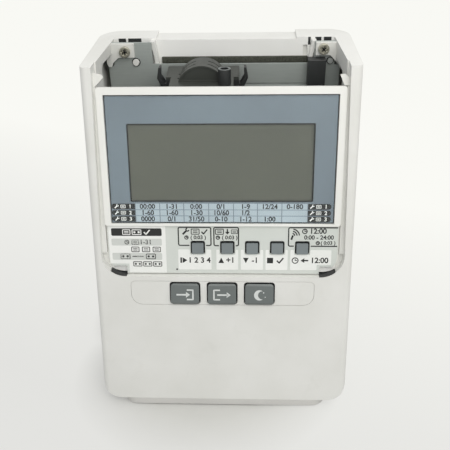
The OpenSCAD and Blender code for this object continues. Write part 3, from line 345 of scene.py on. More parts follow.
def arc(drawing, centre, radius, width, start, sweep):
    """Draws a curved stroke about a centre, its angles in degrees."""
    part = bmesh.new()
    ends = [part.verts.new((radius + side * width / 2, 0, 0)) for side in (-1, 1)]
    edge = part.edges.new(ends)
    bmesh.ops.rotate(part, verts=ends, matrix=Matrix.Rotation(math.radians(start), 3, "Z"))
    bmesh.ops.spin(part, geom=ends + [edge], axis=(0, 0, 1), angle=math.radians(sweep),
                   steps=max(4, round(sweep / 15)), use_merge=sweep == 360)
    bmesh.ops.translate(part, verts=part.verts, vec=(*centre, 0))
    join(drawing, part)


def dot(drawing, centre, radius, corners=24):
    """Draws a filled dot."""
    part = bmesh.new()
    bmesh.ops.create_circle(part, cap_ends=True, segments=corners, radius=radius,
                            matrix=Matrix.Translation((*centre, 0)))
    join(drawing, part)


def thicken(shape, step):
    """Gives a flat shape a thickness by a step to its second side."""
    raised = bmesh.ops.extrude_face_region(shape, geom=shape.faces[:])["geom"]
    bmesh.ops.translate(shape, verts=[v for v in raised if isinstance(v, bmesh.types.BMVert)], vec=step)
    bmesh.ops.recalc_face_normals(shape, faces=shape.faces)


# The thickness of one layer of print
ink_mm = 0.02


def printed(name, drawing, seat, finish, like, film_mm=ink_mm):
    """Lays a drawing on a seat as a film or a plate, which rides like a CAD node."""
    thicken(drawing, (0, 0, film_mm))
    drawing.transform(seat)
    made = solid(name, drawing, finish)
    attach(made, node_body[like])


# Screen-printed ink: thin and even, with small differences in how it covered.
light_ink = moulded("light_grey_ink", "#D5D8D6", "#C6CAC8", rough=0.5, grain_mm=0.4, relief=0.03)
# The slanted top of a key falls 1.8 mm over 10.9 mm. Its middle is 1.8 mm proud of the face and a
# little above the middle of the key, and the mark lies a little below it.
key_slant = Matrix.Rotation(math.atan2(-1.8, 10.9), 4, "X")
slant_height, slant_above, mark_below = 1.8, 0.15, 0.5
for name in punch_keys:
    marks = bmesh.new()
    if name == "overnight_key":
        # A crescent, which is a disc with a smaller one taken out of its right, and two stars
        moon = bend((0, 0), 3.3, range(50, 311, 20))
        bite = bend((1.75, 0), 2.6, range(257, 102, -14))
        patch(marks, moon + bite)
        dot(marks, (2.6, 1.6), 0.5, corners=4)
        dot(marks, (3.6, -1.2), 0.4, corners=4)
    else:
        # A gate that is open to one side, and an arrow into it or out of it
        side = 1 if name == "clock_in_key" else -1
        for (x0, y0), (x1, y1) in (((1.2, 3), (5, 3)), ((5, 3.3), (5, -3.3)), ((5, -3), (1.2, -3))):
            stroke(marks, (side * x0, y0), (side * x1, y1), 0.9)
        tip = 3.2 if side == 1 else 5.4
        stroke(marks, (tip - 8.4, 0), (tip - 1.5, 0), 1)
        patch(marks, ((tip - 2.5, -1.8), (tip, 0), (tip - 2.5, 1.8)))
    across, up, _ = middle(name)
    seat = face @ Matrix.Translation((across, up + slant_above, slant_height)) @ key_slant
    printed(name + "_mark", marks, seat @ Matrix.Translation((0, -mark_below, 0)), light_ink, name)

# Solder mask over copper tracks: glossy green with paler lines at a fine pitch.
green_board, tree, shader, place = blank("green_solder_mask")
tracks = add(tree, "TexBrick", {"Vector": place, "Scale": 1000 / 2.54, "Mortar Size": 0.12,
                                "Color1": linear("#35603F"), "Color2": linear("#3B6847"),
                                "Mortar": linear("#5B8A57")}).outputs
haze = noise(tree, place, size_mm=6, detail=3)
feed(tree, shader, {"Base Color": tracks["Color"], "Roughness": ramp(tree, haze, 0, 1, 0.22, 0.45),
                    "Normal": bump(tree, tracks["Fac"], strength=0.2, depth_mm=0.03)})
dressed("punch_board", green_board, round_mm=0.1)
dressed("punch_switches", black_nylon_and_painted_shade, round_mm=0.15)

# Key panel: a white plate at the foot of the recess with holes for five keys, and a printed
# film stuck on it. The film has a grey-green ground, white fields, dark lines and pictograms.
# White ABS, kept clean under a lid.
panel_abs = moulded("white_panel_abs", "#F2F2EE", "#EAEAE5", rough=0.42, grain_mm=0.7, relief=0.06)
dressed("key_panel", panel_abs, round_mm=0.3)


def coated(node, finish):
    """Gives a finish to a CAD node that is shown as it is."""
    finishes = frame["nodes"][node].data.materials
    finishes.clear()
    finishes.append(finish)


# Polycarbonate film, printed from behind: even colour under a faint velvet texture.
ground_film = moulded("grey_printed_film", "#D8DCD7", "#D2D7D1", rough=0.38, grain_mm=0.35, relief=0.05)
coated("printed_sheet", ground_film)
# Printing inks: white, a pale grey and a nearly black one, thin and even. The nearly black one is also used as
# painted shade: round the opening for the cell, along the edge of the window, in the crosses of the screws and
# round the pins.
white_ink = moulded("white_ink", "#F4F5F2", "#EEF0EC", rough=0.42, grain_mm=0.4, relief=0.03)
pale_ink = moulded("pale_grey_ink", "#D3D6D2", "#CCD0CB", rough=0.42, grain_mm=0.4, relief=0.03)
dark_ink_and_painted_shade = moulded("dark_ink_and_painted_shade", "#151717", "#0E1010", rough=0.5, grain_mm=0.4, relief=0.03)
setting_keys = ("menu_key", "up_key", "down_key", "set_key", "clock_key")
key_places = [middle(name).x for name in setting_keys]
sheet_top = lifted(face, on_face("printed_sheet")[1].z)
print_top = lifted(sheet_top, ink_mm)


def figures(drawing, text, centre, size):
    """Draws plain bold figures about a centre, size being the height of the line in mm."""
    line = bpy.data.curves.new("figures", "FONT")
    line.body = text
    line.size = size
    bold = 0.025
    line.offset = size * bold
    line.align_x = "CENTER"
    line.align_y = "CENTER"
    holder = bpy.data.objects.new("figures", line)
    bpy.context.scene.collection.objects.link(holder)
    bpy.context.view_layer.update()
    mesh = bpy.data.meshes.new_from_object(holder)
    mesh.transform(Matrix.Translation((*centre, 0)))
    drawing.from_mesh(mesh)
    bpy.data.objects.remove(holder)
    bpy.data.meshes.remove(mesh)


def outline(drawing, centre, half_w, half_h, width):
    """Draws the four strokes of a rectangle."""
    x, y = centre
    for side in (-1, 1):
        stroke(drawing, (x - half_w, y + side * half_h), (x + half_w, y + side * half_h), width)
        stroke(drawing, (x + side * half_w, y - half_h), (x + side * half_w, y + half_h), width)


def card(drawing, centre, width):
    """Draws a time card: an outline with two lines on it."""
    x, y = centre
    half_h = width * 0.34
    outline(drawing, centre, width / 2, half_h, width * 0.11)
    for share in (-0.3, 0.3):
        height = y + share * half_h
        stroke(drawing, (x - width * 0.3, height), (x + width * 0.3, height), width * 0.1)


def cassette(drawing, centre, width):
    """Draws a ribbon cassette: a low outline with two reels."""
    outline(drawing, centre, width / 2, width * 0.28, width * 0.1)
    for side in (-1, 1):
        dot(drawing, (centre[0] + side * width * 0.24, centre[1]), width * 0.13, corners=12)


def wrench(drawing, centre, size):
    """Draws a small wrench, head up to the right."""
    x, y = centre
    stroke(drawing, (x - size * 0.4, y - size * 0.4), (x + size * 0.15, y + size * 0.15), size * 0.26)
    arc(drawing, (x + size * 0.27, y + size * 0.27), size * 0.2, size * 0.18, start=95, sweep=260)


def dial(drawing, centre, radius):
    """Draws a clock dial with two hands."""
    x, y = centre
    arc(drawing, centre, radius - 0.3, 0.6, start=0, sweep=360)
    stroke(drawing, (x, y - 0.2), (x, y + radius * 0.62), 0.5)
    stroke(drawing, (x - 0.2, y), (x + radius * 0.58, y), 0.5)


def tick(drawing, centre, size):
    """Draws a tick."""
    x, y = centre
    stroke(drawing, (x - size * 0.5, y), (x - size * 0.1, y - size * 0.42), size * 0.22)
    stroke(drawing, (x - size * 0.18, y - size * 0.42), (x + size * 0.5, y + size * 0.42), size * 0.22)


# White fields below the keys, each with a notch for its key, and one beside them for the supplies
fields = bmesh.new()
supply_left, supply_right, supply_low, supply_top = -69.7, -34.6, 87.5, 117.8
latch_right, latch_top = -57.9, 93.4
field_low, field_top, field_round = 89.7, 102.9, 0.6
field_ends = ((-27.2, -6.8), (-3.7, 9.7), (11.3, 25), (26.5, 40))
notch_low, notch_half = 99.6, 5
patch(fields, ((latch_right, supply_low), (supply_right, supply_low), (supply_right, supply_top),
               (supply_left, supply_top), (supply_left, latch_top), (latch_right, latch_top)), 0.3)


def notch(key):
    """The corners of the notch for a key in the upper edge of a field."""
    return [(key + notch_half, field_top), (key + notch_half, notch_low),
            (key - notch_half, notch_low), (key - notch_half, field_top)]


for (x0, x1), key in zip(field_ends, key_places):
    patch(fields, [(x0, field_low), (x1, field_low), (x1, field_top)] + notch(key) + [(x0, field_top)],
          field_round)
# The last field is stepped round the right latch slot
last_left, last_right, step_left, step_top = 41.6, 66.5, 57.8, 93.2
step = [(step_left, field_low), (step_left, step_top), (last_right, step_top), (last_right, field_top)]
patch(fields, [(last_left, field_low)] + step + notch(key_places[4]) + [(last_left, field_top)],
      field_round)
printed("white_fields", fields, sheet_top, white_ink, "printed_sheet")

bars = bmesh.new()
patch(bars, span(-68.1, -37, 105.3, 109.8), 0.8)
patch(bars, span(-68.1, -37.2, 95.9, 100.5), 0.8)
printed("grey_bars", bars, print_top, pale_ink, "printed_sheet")


def heading_frame(drawing, x0, x1, low, key):
    """Draws the line round a heading above a key, open at the key and beyond the end of the sheet."""
    top, corner, width, gap, sheet_end = 117.6, 1.3, 0.75, 5.1, 69.8
    part = rounded(span(x0, x1, low, top), corner)
    inside = part.faces[:]
    bmesh.ops.inset_region(part, faces=inside, thickness=width, use_boundary=True, use_even_offset=True)
    bmesh.ops.delete(part, geom=inside, context="FACES")
    for cut in (key - gap, key + gap, sheet_end):
        bmesh.ops.bisect_plane(part, geom=part.verts[:] + part.edges[:] + part.faces[:],
                               plane_co=(cut, 0, 0), plane_no=(1, 0, 0))
    spots = [(f, f.calc_center_median()) for f in part.faces]
    gone = [f for f, spot in spots
            if spot.x > sheet_end or abs(spot.x - key) < gap and spot.y < (low + top) / 2]
    bmesh.ops.delete(part, geom=gone, context="FACES")
    join(drawing, part)


lines = bmesh.new()
patch(lines, span(-67.9, -36.9, 111.6, 116.5), 0.9)
dot(lines, (-28.2, 89.8), 0.6)
heading_frame(lines, -27.1, -6.5, 105.2, key_places[0])
heading_frame(lines, -5.4, 10.3, 105.1, key_places[1])
heading_frame(lines, 39.9, 72, 105, key_places[4])
# Settings: a wrench and a card; report: a printed sheet; each with the time that the key is held
wrench(lines, (-22.3, 114.5), 4.4)
card(lines, (-16.4, 114.5), 4.8)
tick(lines, (-10.8, 114.4), 3.6)
card(lines, (-1.6, 114.5), 4.8)
stroke(lines, (3.2, 116.2), (3.2, 113.8), 0.8)
patch(lines, ((1.8, 114.4), (3.2, 112.7), (4.6, 114.4)))
card(lines, (7.4, 114.5), 3.6)
for x in (-16.8, 2.4):
    dial(lines, (x - 5, 110.7), 1.35)
    figures(lines, "( 0:03 )", (x + 2.2, 110.7), 3.3)
# Radio time: a dish with waves
for radius in (1.7, 3.1, 4.5):
    arc(lines, (42.3, 111.9), radius, 0.75, start=5, sweep=75)
stroke(lines, (41.9, 109.5), (42.9, 112.3), 1.1)
dial(lines, (50, 114.9), 1.7)
figures(lines, "12:00", (58, 114.9), 4.6)
figures(lines, "0:00 - 24:00", (58.6, 110.9), 3.7)
dial(lines, (58, 107.4), 1.3)
figures(lines, "( 0:03 )", (64.2, 107.4), 3.1)
# Below the keys: next item, up, down, set and back to the clock
stroke(lines, (-25.5, 97.6), (-25.5, 94.1), 1)
patch(lines, ((-24.6, 94), (-21.7, 95.85), (-24.6, 97.7)))
figures(lines, "1 2 3 4", (-14.2, 95.8), 4.9)
patch(lines, ((-2.5, 94.1), (1, 94.1), (-0.75, 97.6)))
figures(lines, "+1", (4.9, 95.9), 5)
patch(lines, ((12.7, 97.6), (14.4, 94.1), (16.1, 97.6)))
figures(lines, "-1", (20, 95.9), 5)
patch(lines, span(27.4, 31.1, 94.1, 97.7))
tick(lines, (35.4, 95.9), 4)
dial(lines, (44.6, 96), 2.1)
stroke(lines, (49.8, 96), (52.6, 96), 0.9)
patch(lines, ((50.2, 94.5), (50.2, 97.5), (47.9, 96)))
figures(lines, "12:00", (59.4, 96), 4.9)
# Supplies: cards and ribbon cassettes
dial(lines, (-58.6, 107.5), 1.55)
card(lines, (-53.4, 107.5), 4.2)
figures(lines, "1-31", (-47, 107.5), 4.2)
cassette(lines, (-60, 98.2), 5.6)
stroke(lines, (-55.6, 98.2), (-48.6, 98.2), 0.7)
cassette(lines, (-44.2, 98.2), 5.6)
for i in range(3):
    card(lines, (-53.6 + 6.6 * i, 102.8), 4.5)
    cassette(lines, (-52.6 + 6.2 * i, 93.2), 5.1)
printed("dark_print", lines, print_top, dark_ink_and_painted_shade, "printed_sheet")

supplies = bmesh.new()
card(supplies, (-58.6, 114), 4.5)
cassette(supplies, (-52.3, 114), 5.4)
tick(supplies, (-46, 114), 3.6)
printed("supply_marks", supplies, lifted(print_top, ink_mm), white_ink, "printed_sheet")

# Latch floors: behind the two slots for the lid's latches the floor of the recess goes on, moulded with the
# housing and given the paler white of painted light, and its round lower edge leaves a dark gap below it.
floors = bmesh.new()
floor_x, floor_y, floor_radius = 61, 103.2, 15.5
floor_inner, floor_outer, floor_top, floor_depth = 58.8, 71, 93.8, 7.4
for side in (-1, 1):
    edge = bend((side * floor_x, floor_y), floor_radius, [side * turn - 90 for turn in range(-8, 41, 6)])
    patch(floors, edge + [(side * floor_outer, floor_top), (side * floor_inner, floor_top)])
printed("latch_floors", floors, lifted(face, -floor_depth), abs_painted_light, "main_case", film_mm=0.8)
# Below each floor the wall of the recess is open at its round corner; black walls are put there as painted shade
# for the dark inside
wells = bmesh.new()
corner_x, corner_radius, corner_turn = 60, 13.5, 39
corner_y = on_face("key_panel")[0].y + corner_radius
well_radius, well_wall, well_end, well_depth = corner_radius + 0.35, 0.2, 59.3, 8.6
well_low = corner_y - well_radius
for side, start in ((-1, 270 - corner_turn), (1, 270)):
    arc(wells, (side * corner_x, corner_y), well_radius, well_wall, start, corner_turn)
    stroke(wells, (side * corner_x, well_low), (side * well_end, well_low), well_wall)
printed("latch_painted_shade", wells, lifted(face, -well_depth), black_nylon_and_painted_shade, "main_case", film_mm=8)

# Hook slots: the hooks of a lid go into dark slots in the wall behind the card mouth, just under the rim. Their
# insides are black sheets of painted shade, so that no light from the back of the housing shows in them.


def upright(y):
    """From mm across, up and out of an upright wall to the frame."""
    turn = Matrix((Vector((1, 0, 0)), Vector((0, 0, 1)), Vector((0, -1, 0)))).transposed().to_4x4()
    return Matrix.Translation((0, y, 0)) @ turn @ Matrix.Scale(0.001, 4)


rim, rim_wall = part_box("main_case")[1].z * 1000, 0.6
slots = bmesh.new()
for start, end, drop in ((-66, -61.3, 2.9), (-60, -51.6, 2.9), (52.6, 54.2, 5.4), (57, 60.8, 2.9),
                         (62.3, 67, 2.9)):
    patch(slots, span(start, end, rim - drop, rim - rim_wall))
printed("hook_slot_painted_shade", slots, upright(mouth.y), black_nylon_and_painted_shade, "main_case", film_mm=0.05)

# Setting keys: five square grey caps through the panel, each with a lip behind it and a stem
# on a switch of the control board, which stands on posts behind the display.
# Blue-grey ABS, polished by fingers.
set_abs = moulded("blue_grey_key_abs", "#7F8789", "#777F81", rough=0.4, grain_mm=0.6, relief=0.06)
fillets = bmesh.new()
hole_half, hole_above, hole_round, sheet_mm = 4.5, 4.3, 1.5, 0.2
for name in setting_keys:
    key_cap(name, set_abs, surface=on_face("printed_sheet")[1].z, play=0.9)
    # The holes in the film have round upper corners
    across, up, _ = middle(name)
    for side in (-1, 1):
        x, y = across + side * hole_half, up + hole_above
        quarter = [90 - side * turn for turn in range(90, -1, -15)]
        patch(fillets, [(x, y)] + bend((x - side * hole_round, y - hole_round), hole_round, quarter))
printed("film_fillets", fillets, lifted(sheet_top, -sheet_mm), ground_film, "printed_sheet",
        film_mm=sheet_mm)
dressed("control_board", green_board, round_mm=0.1)
dressed("control_switches", black_nylon_and_painted_shade, round_mm=0.15)

# Display: a raised white bezel round a clear acrylic window. A blue-grey mask with a table of
# settings is printed behind the window, and the liquid-crystal cell shows through its opening.
# White ABS, a little glossier than the housing's and without its smudges.
bezel_abs = moulded("white_bezel_abs", "#F2F2EE", "#ECECE7", rough=0.4, grain_mm=0.7, relief=0.06)
dressed("display_frame", bezel_abs, round_mm=0.4)
dressed("lcd_holder", panel_abs, round_mm=0.2)
# Ink behind the window: an even blue-grey.
mask_ink = moulded("blue_grey_ink", "#6D7982", "#67727B", rough=0.45, grain_mm=0.5, relief=0.03)
coated("window_mask", mask_ink)
# Polarising film on the cell: grey-green, smooth, a little uneven in tone.
polariser = moulded("polarising_film", "#55574E", "#4F5149", rough=0.36, grain_mm=9, relief=0.01)
coated("lcd_cell", polariser)

# Ink of the table's cells: a pale blue.
cell_ink = moulded("pale_blue_ink", "#A6B3BB", "#A0ADB5", rough=0.45, grain_mm=5, relief=0.01)
mask_top = lifted(face, on_face("window_mask")[1].z)
row_edges = (132.4, 128.3, 124.5, 120.5)
rows = [(top, low, (top + low) / 2) for top, low in zip(row_edges, row_edges[1:])]
column_edges = (-52.2, -37.4, -22.9, -7.9, 7.0, 21.3, 35.9, 51.3)
columns = list(zip(column_edges, column_edges[1:]))
cells = bmesh.new()
side_gap, row_gap = 0.25, 0.2
for top, low, _ in rows:
    for left, end in columns:
        patch(cells, span(left + side_gap, end - side_gap, low + row_gap, top - row_gap))
printed("table_cells", cells, mask_top, cell_ink, "window_mask")
# Dark tags with round ends at both sides of the table, and codes in its cells
tags = bmesh.new()
tag_left, tag_right, tag_gap = -66.6, 65.2, 0.3
table_left, table_right = -52.4, 51.5
for top, low, centre in rows:
    r = (top - low) / 2 - tag_gap
    for x, end, turn in ((tag_left + r, table_left, 90), (tag_right - r, table_right, -90)):
        patch(tags, span(min(x, end), max(x, end), low + tag_gap, top - tag_gap))
        arc(tags, (x, centre), r / 2, r, start=turn, sweep=180)
codes = (("00:00", "1-31", "0:00", "0/1", "1-9", "12/24", "0-180"),
         ("1-60", "1-60", "1-30", "10/60", "1/2", "", ""),
         ("0000", "0/1", "31/50", "0-10", "1-12", "1:00", ""))
for line, (_, _, centre) in zip(codes, rows):
    for text, (left, end) in zip(line, columns):
        if text:
            figures(tags, text, ((left + end) / 2, centre - 0.1), 4.2)
# Painted shade: a dark line round the opening for the cell, and one along the edge of the window, for the shaded
# gaps behind the pane and round it
outline(tags, (-0.3, 156.7), half_w=54.1, half_h=23, width=0.9)
view_low, view_high = on_face("window_mask")
view_edge = 0.3
outline(tags, ((view_low.x + view_high.x) / 2, (view_low.y + view_high.y) / 2),
        half_w=(view_high.x - view_low.x) / 2 - view_edge,
        half_h=(view_high.y - view_low.y) / 2 - view_edge, width=0.45)
printed("table_tags_and_edge_shade", tags, lifted(mask_top, ink_mm), dark_ink_and_painted_shade, "window_mask")
tools = bmesh.new()
for number, (_, _, centre) in enumerate(rows, 1):
    for x in (-63.6, 53.8):
        wrench(tools, (x, centre), 2.6)
        card(tools, (x + 4, centre), 2.7)
        figures(tools, str(number), (x + 8.3, centre - 0.1), 3.3)
printed("table_tools", tools, lifted(mask_top, 2 * ink_mm), white_ink, "window_mask")


def show(tree, output, share, first, second):
    """Sends a mix of two shaders to the output of a material or a world."""
    mixed = add(tree, "MixShader", {0: share, 1: first.outputs[0], 2: second.outputs[0]})
    tree.links.new(mixed.outputs[0], tree.nodes[output].inputs["Surface"])


# Clear acrylic, coated so that it reflects less: a trace of haze, and lamps reach the print behind it.
clear_acrylic, tree, shader, place = blank("clear_acrylic")
haze = noise(tree, place, size_mm=18, detail=4)
feed(tree, shader, {"Base Color": linear("#F8FAFB"), "Roughness": ramp(tree, haze, 0, 1, 0.01, 0.05),
                    "IOR": 1.25, "Transmission Weight": 1})
shadow = add(tree, "LightPath", {}).outputs["Is Shadow Ray"]
show(tree, "Material Output", shadow, shader, add(tree, "BsdfTransparent", {}))
# The pane lies a little clear of the print behind it, and its edges are broken
pane_gap, pane_edge = 0.0001, 0.0002
shape = cleaned("display_window")
back = min((face.inverted() @ v.co).z for v in shape.verts)
for v in shape.verts:
    if (face.inverted() @ v.co).z < back + 0.1:
        v.co += outward * pane_gap
bmesh.ops.bevel(shape, geom=shape.edges[:], offset=pane_edge, affect="EDGES", segments=1, profile=0.5,
                material=-1)
stand_in(solid("window_pane", shape, clear_acrylic), "display_window")

# Chassis of the card printer: a folded sheet-steel plate across the housing, hung from the two
# corner tabs by cross-head screws and located by two plastic pins.
# Coated sheet steel: grey and nearly matt, with a faint rolling grain.
sheet_steel = metal("coated_sheet_steel", "#A9AFAC", "#A0A6A3", rough=0.5, line_mm=0.9, along="X",
                    metallic=0.3, relief=0.04)
dressed("chassis", sheet_steel, round_mm=0.15)
# The plating of these screws has gone dull and a little yellow.
dull_nickel = metal("dull_nickel_plating", "#BDBBAE", "#A8A699", rough=0.3, line_mm=0.4, along="Y",
                    relief=0.02)
dressed("corner_screws", dull_nickel, round_mm=0.25)
# Painted shade: the right one of the two pins is given a grey, darker than the white of the left one.
pin_painted_shade = moulded("pin_abs_painted_shade", "#A3A7A4", "#999D9A", rough=0.45, grain_mm=0.6, relief=0.06)


def right_pin(shape):
    """Gives the right one of the two pins the grey of painted shade."""
    for f in shape.faces:
        f.material_index = int(f.calc_center_median().x > 0)


dressed("locating_pins", white_abs, round_mm=0.3, reshape=right_pin, inner=pin_painted_shade)


def pair(node):
    """The middles of a left and a right solid of one CAD node, across and up, in mm."""
    found = []
    for side in (-1, 1):
        places = [v.co * 1000 for v in frame["nodes"][node].data.vertices if v.co.x * side > 0]
        found.append([(min(p[i] for p in places) + max(p[i] for p in places)) / 2 for i in (0, 2)])
    return found


# Painted shade in the crosses of the screws, and painted shade in the gap of the holes round the pins
crosses = bmesh.new()
cross_half, cross_width = 1.7, 0.8
for centre, turn in zip(pair("corner_screws"), (12, 40)):
    for angle in (math.radians(turn), math.radians(turn + 90)):
        reach = Vector((math.cos(angle), math.sin(angle))) * cross_half
        stroke(crosses, Vector(centre) - reach, Vector(centre) + reach, cross_width)
printed("screw_cross_painted_shade", crosses, upright(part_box("corner_screws")[0].y), dark_ink_and_painted_shade, "corner_screws")
rings = bmesh.new()
ring_width, pin_length = 0.45, 0.0012
for centre, radius in zip(pair("locating_pins"), (2.4, 2.1)):
    arc(rings, centre, radius, ring_width, start=0, sweep=360)
printed("pin_gap_painted_shade", rings, upright(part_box("locating_pins")[0].y + pin_length), dark_ink_and_painted_shade, "locating_pins")

# Card path: a moulded guide with a flared mouth behind the chassis, a foam strip that wipes the
# card, a rubber platen for the print head, and an optical sensor block in black.
dressed("card_guide", panel_abs, round_mm=0.25)
# Hard grey rubber, as pale as the chassis around it.
grey_rubber = moulded("grey_platen_rubber", "#A9AFAC", "#A0A6A3", rough=0.6, grain_mm=0.9, relief=0.1)
dressed("platen", grey_rubber, round_mm=0.3)
dressed("card_sensor", black_nylon_and_painted_shade, round_mm=0.4)
# Open-cell foam: dark olive, matt and pitted, with dust on it.
open_foam, tree, shader, place = blank("open_cell_foam")
pores = add(tree, "TexVoronoi", {"Vector": place, "Scale": 1000 / 0.9}).outputs["Distance"]
pits = blend(tree, ramp(tree, pores, 0, 0.7), "#2C2D27", "#4A4C43")
dust = ramp(tree, noise(tree, place, size_mm=7, detail=4), 0.5, 0.8, high=0.4)
feed(tree, shader, {"Base Color": blend(tree, dust, pits, "#5C5D54"), "Roughness": 0.95,
                    "Normal": bump(tree, pores, strength=0.6, depth_mm=0.3)})
low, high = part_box("foam_strip")
shape = bmesh.new()
bmesh.ops.create_cube(shape, size=1, matrix=Matrix.Translation((low + high) / 2)
                      @ Matrix.Diagonal((*(high - low), 1)))
lengthwise = [e for e in shape.edges if abs(e.verts[0].co.x - e.verts[1].co.x) > 0.01]
bmesh.ops.subdivide_edges(shape, edges=lengthwise, cuts=23)
corners = [e for e in shape.edges if e.calc_face_angle() > 1]
foam_round = 0.0006
bmesh.ops.bevel(shape, geom=corners, offset=foam_round, affect="EDGES", segments=3, profile=0.5,
                material=-1, clamp_overlap=True)
foam = solid("foam_wiper", shape, open_foam)
foam.data.shade_smooth()
stand_in(foam, "foam_strip")

# Print carriage: a black block that slides on a ground shaft, hooked over a second rail, with
# a dark cast dot head whose nose strikes through the ribbon.
# Ground steel: bright, with the fine marks of the wheel.
ground_steel = metal("ground_steel", "#D4D6D8", "#B9BCBF", rough=0.22, line_mm=0.3, along="Y")
dressed("guide_shaft", ground_steel, round_mm=0.3)
dressed("guide_rail", ground_steel, round_mm=0.3)
dressed("carriage", black_nylon_and_painted_shade, round_mm=0.4)
# Cast aluminium, stained dark: grainy, with no direction.
cast_head = metal("dark_cast_aluminium", "#6A6D6F", "#55585A", rough=0.5, line_mm=1.2, along="",
                  metallic=0.8, relief=0.25)
dressed("print_head", cast_head, round_mm=0.5)

# Ribbon cassette: a black polystyrene box that drops onto the carriage, with a spring tab on
# each side, a half-round grip on its lid, a winding knob and a band of inked fabric.
# Black polystyrene: a little paler and coarser than nylon.
cassette_ps = moulded("black_polystyrene", "#393C38", "#30332F", rough=0.5, grain_mm=0.6, relief=0.12)
dressed("cassette_case", black_nylon_and_painted_shade, round_mm=0.3)
dressed("cassette_lid", cassette_ps, round_mm=0.3)
# Painted highlight: the upward faces at the knob's open end are paler, for the light that falls on them from
# above.
knob_painted_highlight = moulded("knob_top_painted_highlight", "#6E7372", "#616665", rough=0.5, grain_mm=0.5, relief=0.1)
knob_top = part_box("ribbon_knob")[1].z
highlight_depth = 0.002


def worn_end(shape):
    """Gives the upward faces at the top of the knob the painted highlight."""
    for f in shape.faces:
        f.material_index = int(f.normal.z > 0.7 and f.calc_center_median().z > knob_top - highlight_depth)


dressed("ribbon_knob", black_nylon_and_painted_shade, round_mm=0.35, reshape=worn_end, inner=knob_painted_highlight)
# Inked nylon: a close weave, nearly black with a dull sheen.
inked_nylon, tree, shader, place = blank("inked_nylon_fabric")
# Threads of 0.15 mm, drawn at 0.5 mm to show; a wave has 20 bands to the unit of its scale
thread_scale = 1000 / 0.5 / 20
warp, weft = (add(tree, "TexWave", {"Vector": place, "Scale": thread_scale, "Distortion": 0.5},
                  bands_direction=axis).outputs["Fac"] for axis in "XZ")
weave = add(tree, "Math", {0: warp, 1: weft}, operation="MULTIPLY").outputs[0]
feed(tree, shader, {"Base Color": blend(tree, weave, "#121216", "#2A2A32"), "Roughness": 0.7,
                    "Normal": bump(tree, weave, strength=0.4, depth_mm=0.1)})
low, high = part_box("ink_ribbon")
shape = bmesh.new()
bmesh.ops.create_grid(shape, x_segments=40, y_segments=8, size=0.5,
                      matrix=Matrix.Translation((low + high) / 2)
                      @ Matrix.Diagonal((high.x - low.x, 1, high.z - low.z, 1))
                      @ Matrix.Rotation(math.radians(90), 4, "X"))
band_thickness = 0.0001
thicken(shape, (0, band_thickness, 0))
band = solid("ribbon_band", shape, inked_nylon)
stand_in(band, "ink_ribbon")

# Belt drive: a small stepping motor behind the chassis turns a pulley, and a toothed belt over
# it and an idler pulls the carriage.
# Zinc-plated cans, drawn upright, and aluminium turned on a lathe.
zinc_can = metal("zinc_plated_steel", "#B9BDBF", "#9CA0A3", rough=0.36, line_mm=0.6, along="Z")
turned_metal = metal("turned_aluminium", "#D9DBDD", "#BFC2C4", rough=0.28, line_mm=0.3, along="Y")
dressed("carriage_motor", zinc_can, round_mm=0.5)
dressed("motor_pulley", turned_metal, round_mm=0.15)
dressed("idler_pulley", turned_metal, round_mm=0.15)
dressed("idler_pin", ground_steel, round_mm=0.2)
dressed("timing_belt", black_rubber, round_mm=0.15)

# Card feed: two rubber rollers on a steel shaft, turned by an acetal gear and a brass pinion on
# a second motor, press the card against two pinch rollers in the guide.
# Acetal: a warm white with a greasy sheen. Brass: turned, with fine lines.
acetal = moulded("white_acetal", "#E9E6DC", "#DEDBD0", rough=0.36, grain_mm=0.6, relief=0.05)
turned_brass = metal("turned_brass", "#D2AE5A", "#B48F3E", rough=0.27, line_mm=0.3, along="X")
dressed("feed_shaft", ground_steel, round_mm=0.2)
dressed("feed_rollers", black_rubber, round_mm=0.3)
dressed("feed_gear", acetal, round_mm=0.1)
dressed("feed_motor", zinc_can, round_mm=0.5)
dressed("feed_pinion", turned_brass, round_mm=0.1)
dressed("pinch_shaft", ground_steel, round_mm=0.2)
dressed("pinch_rollers", black_rubber, round_mm=0.3)

# Electronics: the main board on standoffs of the chassis with its button cell, and the mains
# transformer on the base, a stack of varnished laminations round its winding.
dressed("main_board", green_board, round_mm=0.15)
dressed("backup_battery", zinc_can, round_mm=0.4)
# Iron laminations under brown varnish, in lines across.
varnished_iron = metal("varnished_laminations", "#7D766B", "#5F594F", rough=0.45, line_mm=0.6, along="X",
                       metallic=0.5, relief=0.3)
dressed("transformer", varnished_iron, round_mm=0.5)

# Floor and light: a wide flat floor of pale paper that fades to white behind and beside the recorder, one large
# soft lamp overhead, a wide fill in front, and an even light from all round.


def by_eye(tree):
    """1 for what is seen, also in a gloss or through a window, and 0 for light that falls on things."""
    ray = add(tree, "LightPath", {}).outputs
    plain = add(tree, "Math", {0: ray["Is Camera Ray"], 1: ray["Is Glossy Ray"]}, operation="MAXIMUM")
    return add(tree, "Math", {0: plain.outputs[0], 1: ray["Is Transmission Ray"]},
               operation="MAXIMUM").outputs[0]


# Matt paper: an even pale grey with a trace of fibre.
sweep, tree, shader, place = blank("pale_paper")
fibre = noise(tree, place, size_mm=30, detail=3)
feed(tree, shader, {"Base Color": blend(tree, fibre, "#CDCDC9", "#D3D3CF"), "Roughness": 0.9})
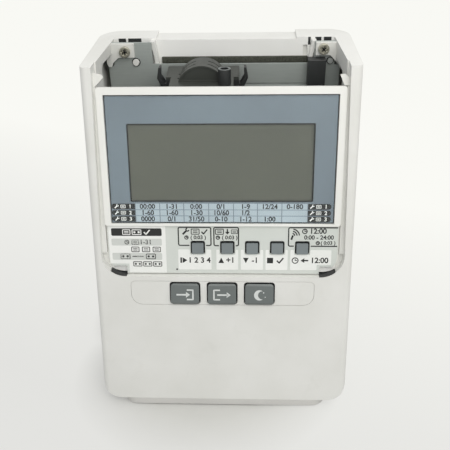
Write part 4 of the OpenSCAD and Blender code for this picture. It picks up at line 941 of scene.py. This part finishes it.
# The shadow fades from 40 to 80 mm away from two points, one 30 mm in front of the middle and one
# behind it, measured shorter across, and reaches further to the left
shadow_left, shadow_squeeze, shadow_front = 0.0115, 0.86, 0.03
oval = add(tree, "Mapping", {"Vector": place, "Location": (shadow_left, 0, 0),
                             "Scale": (shadow_squeeze, 1, 1)})
mirrored = add(tree, "VectorMath", {0: oval.outputs[0]}, operation="ABSOLUTE")
away = add(tree, "VectorMath", {0: mirrored.outputs[0], 1: (0, shadow_front, 0)}, operation="DISTANCE")
fade = ramp(tree, away.outputs["Value"], 0.04, 0.08, high=0.92)
# Painted light: what is seen of the paper glows paler to the rear and the right, and white far off
depth = add(tree, "VectorMath", {0: place, 1: (0.5, 1, 0)}, operation="DOT_PRODUCT")
distance = add(tree, "VectorMath", {0: place}, operation="LENGTH")
tone = add(tree, "Math", {0: ramp(tree, depth.outputs["Value"], -0.1, 0.3),
                          1: ramp(tree, distance.outputs["Value"], 0.4, 1.1)}, operation="MAXIMUM")
pale = blend(tree, tone.outputs[0], "#E5E5E2", "#FEFEF9")
white = add(tree, "Emission", {"Color": pale, "Strength": 1})
share = add(tree, "Math", {0: by_eye(tree), 1: fade}, operation="MULTIPLY")
show(tree, "Material Output", share.outputs[0], shader, white)
shape = bmesh.new()
bmesh.ops.create_grid(shape, x_segments=1, y_segments=1, size=3)
floor = solid("floor", shape, sweep)
middle_of_part = Vector((0, 0, 0.12))
for name, size, power, spot in (("softbox", 0.9, 1.9, (0.3, 0.1, 1.0)),
                                ("front_fill", 0.4, 1.7, (0.12, -0.4, 0.56))):
    lamp = bpy.data.lights.new(name, "AREA")
    lamp.size = size
    lamp.energy = power
    lamp.color = linear("#FFFDF8")[:3]
    holder = bpy.data.objects.new(name, lamp)
    bpy.context.scene.collection.objects.link(holder)
    holder.location = spot
    holder.rotation_euler = (middle_of_part - holder.location).to_track_quat("-Z", "Y").to_euler()
room = bpy.data.worlds.new("room")
room.use_nodes = True
tree = room.node_tree
feed(tree, tree.nodes["Background"], {"Color": linear("#FBFCFF"), "Strength": 0.58})
white = add(tree, "Background", {"Color": linear("#FCFCF7"), "Strength": 1})
show(tree, "World Output", by_eye(tree), tree.nodes["Background"], white)
bpy.context.scene.world = room
bpy.context.scene.view_settings.view_transform = "Standard"
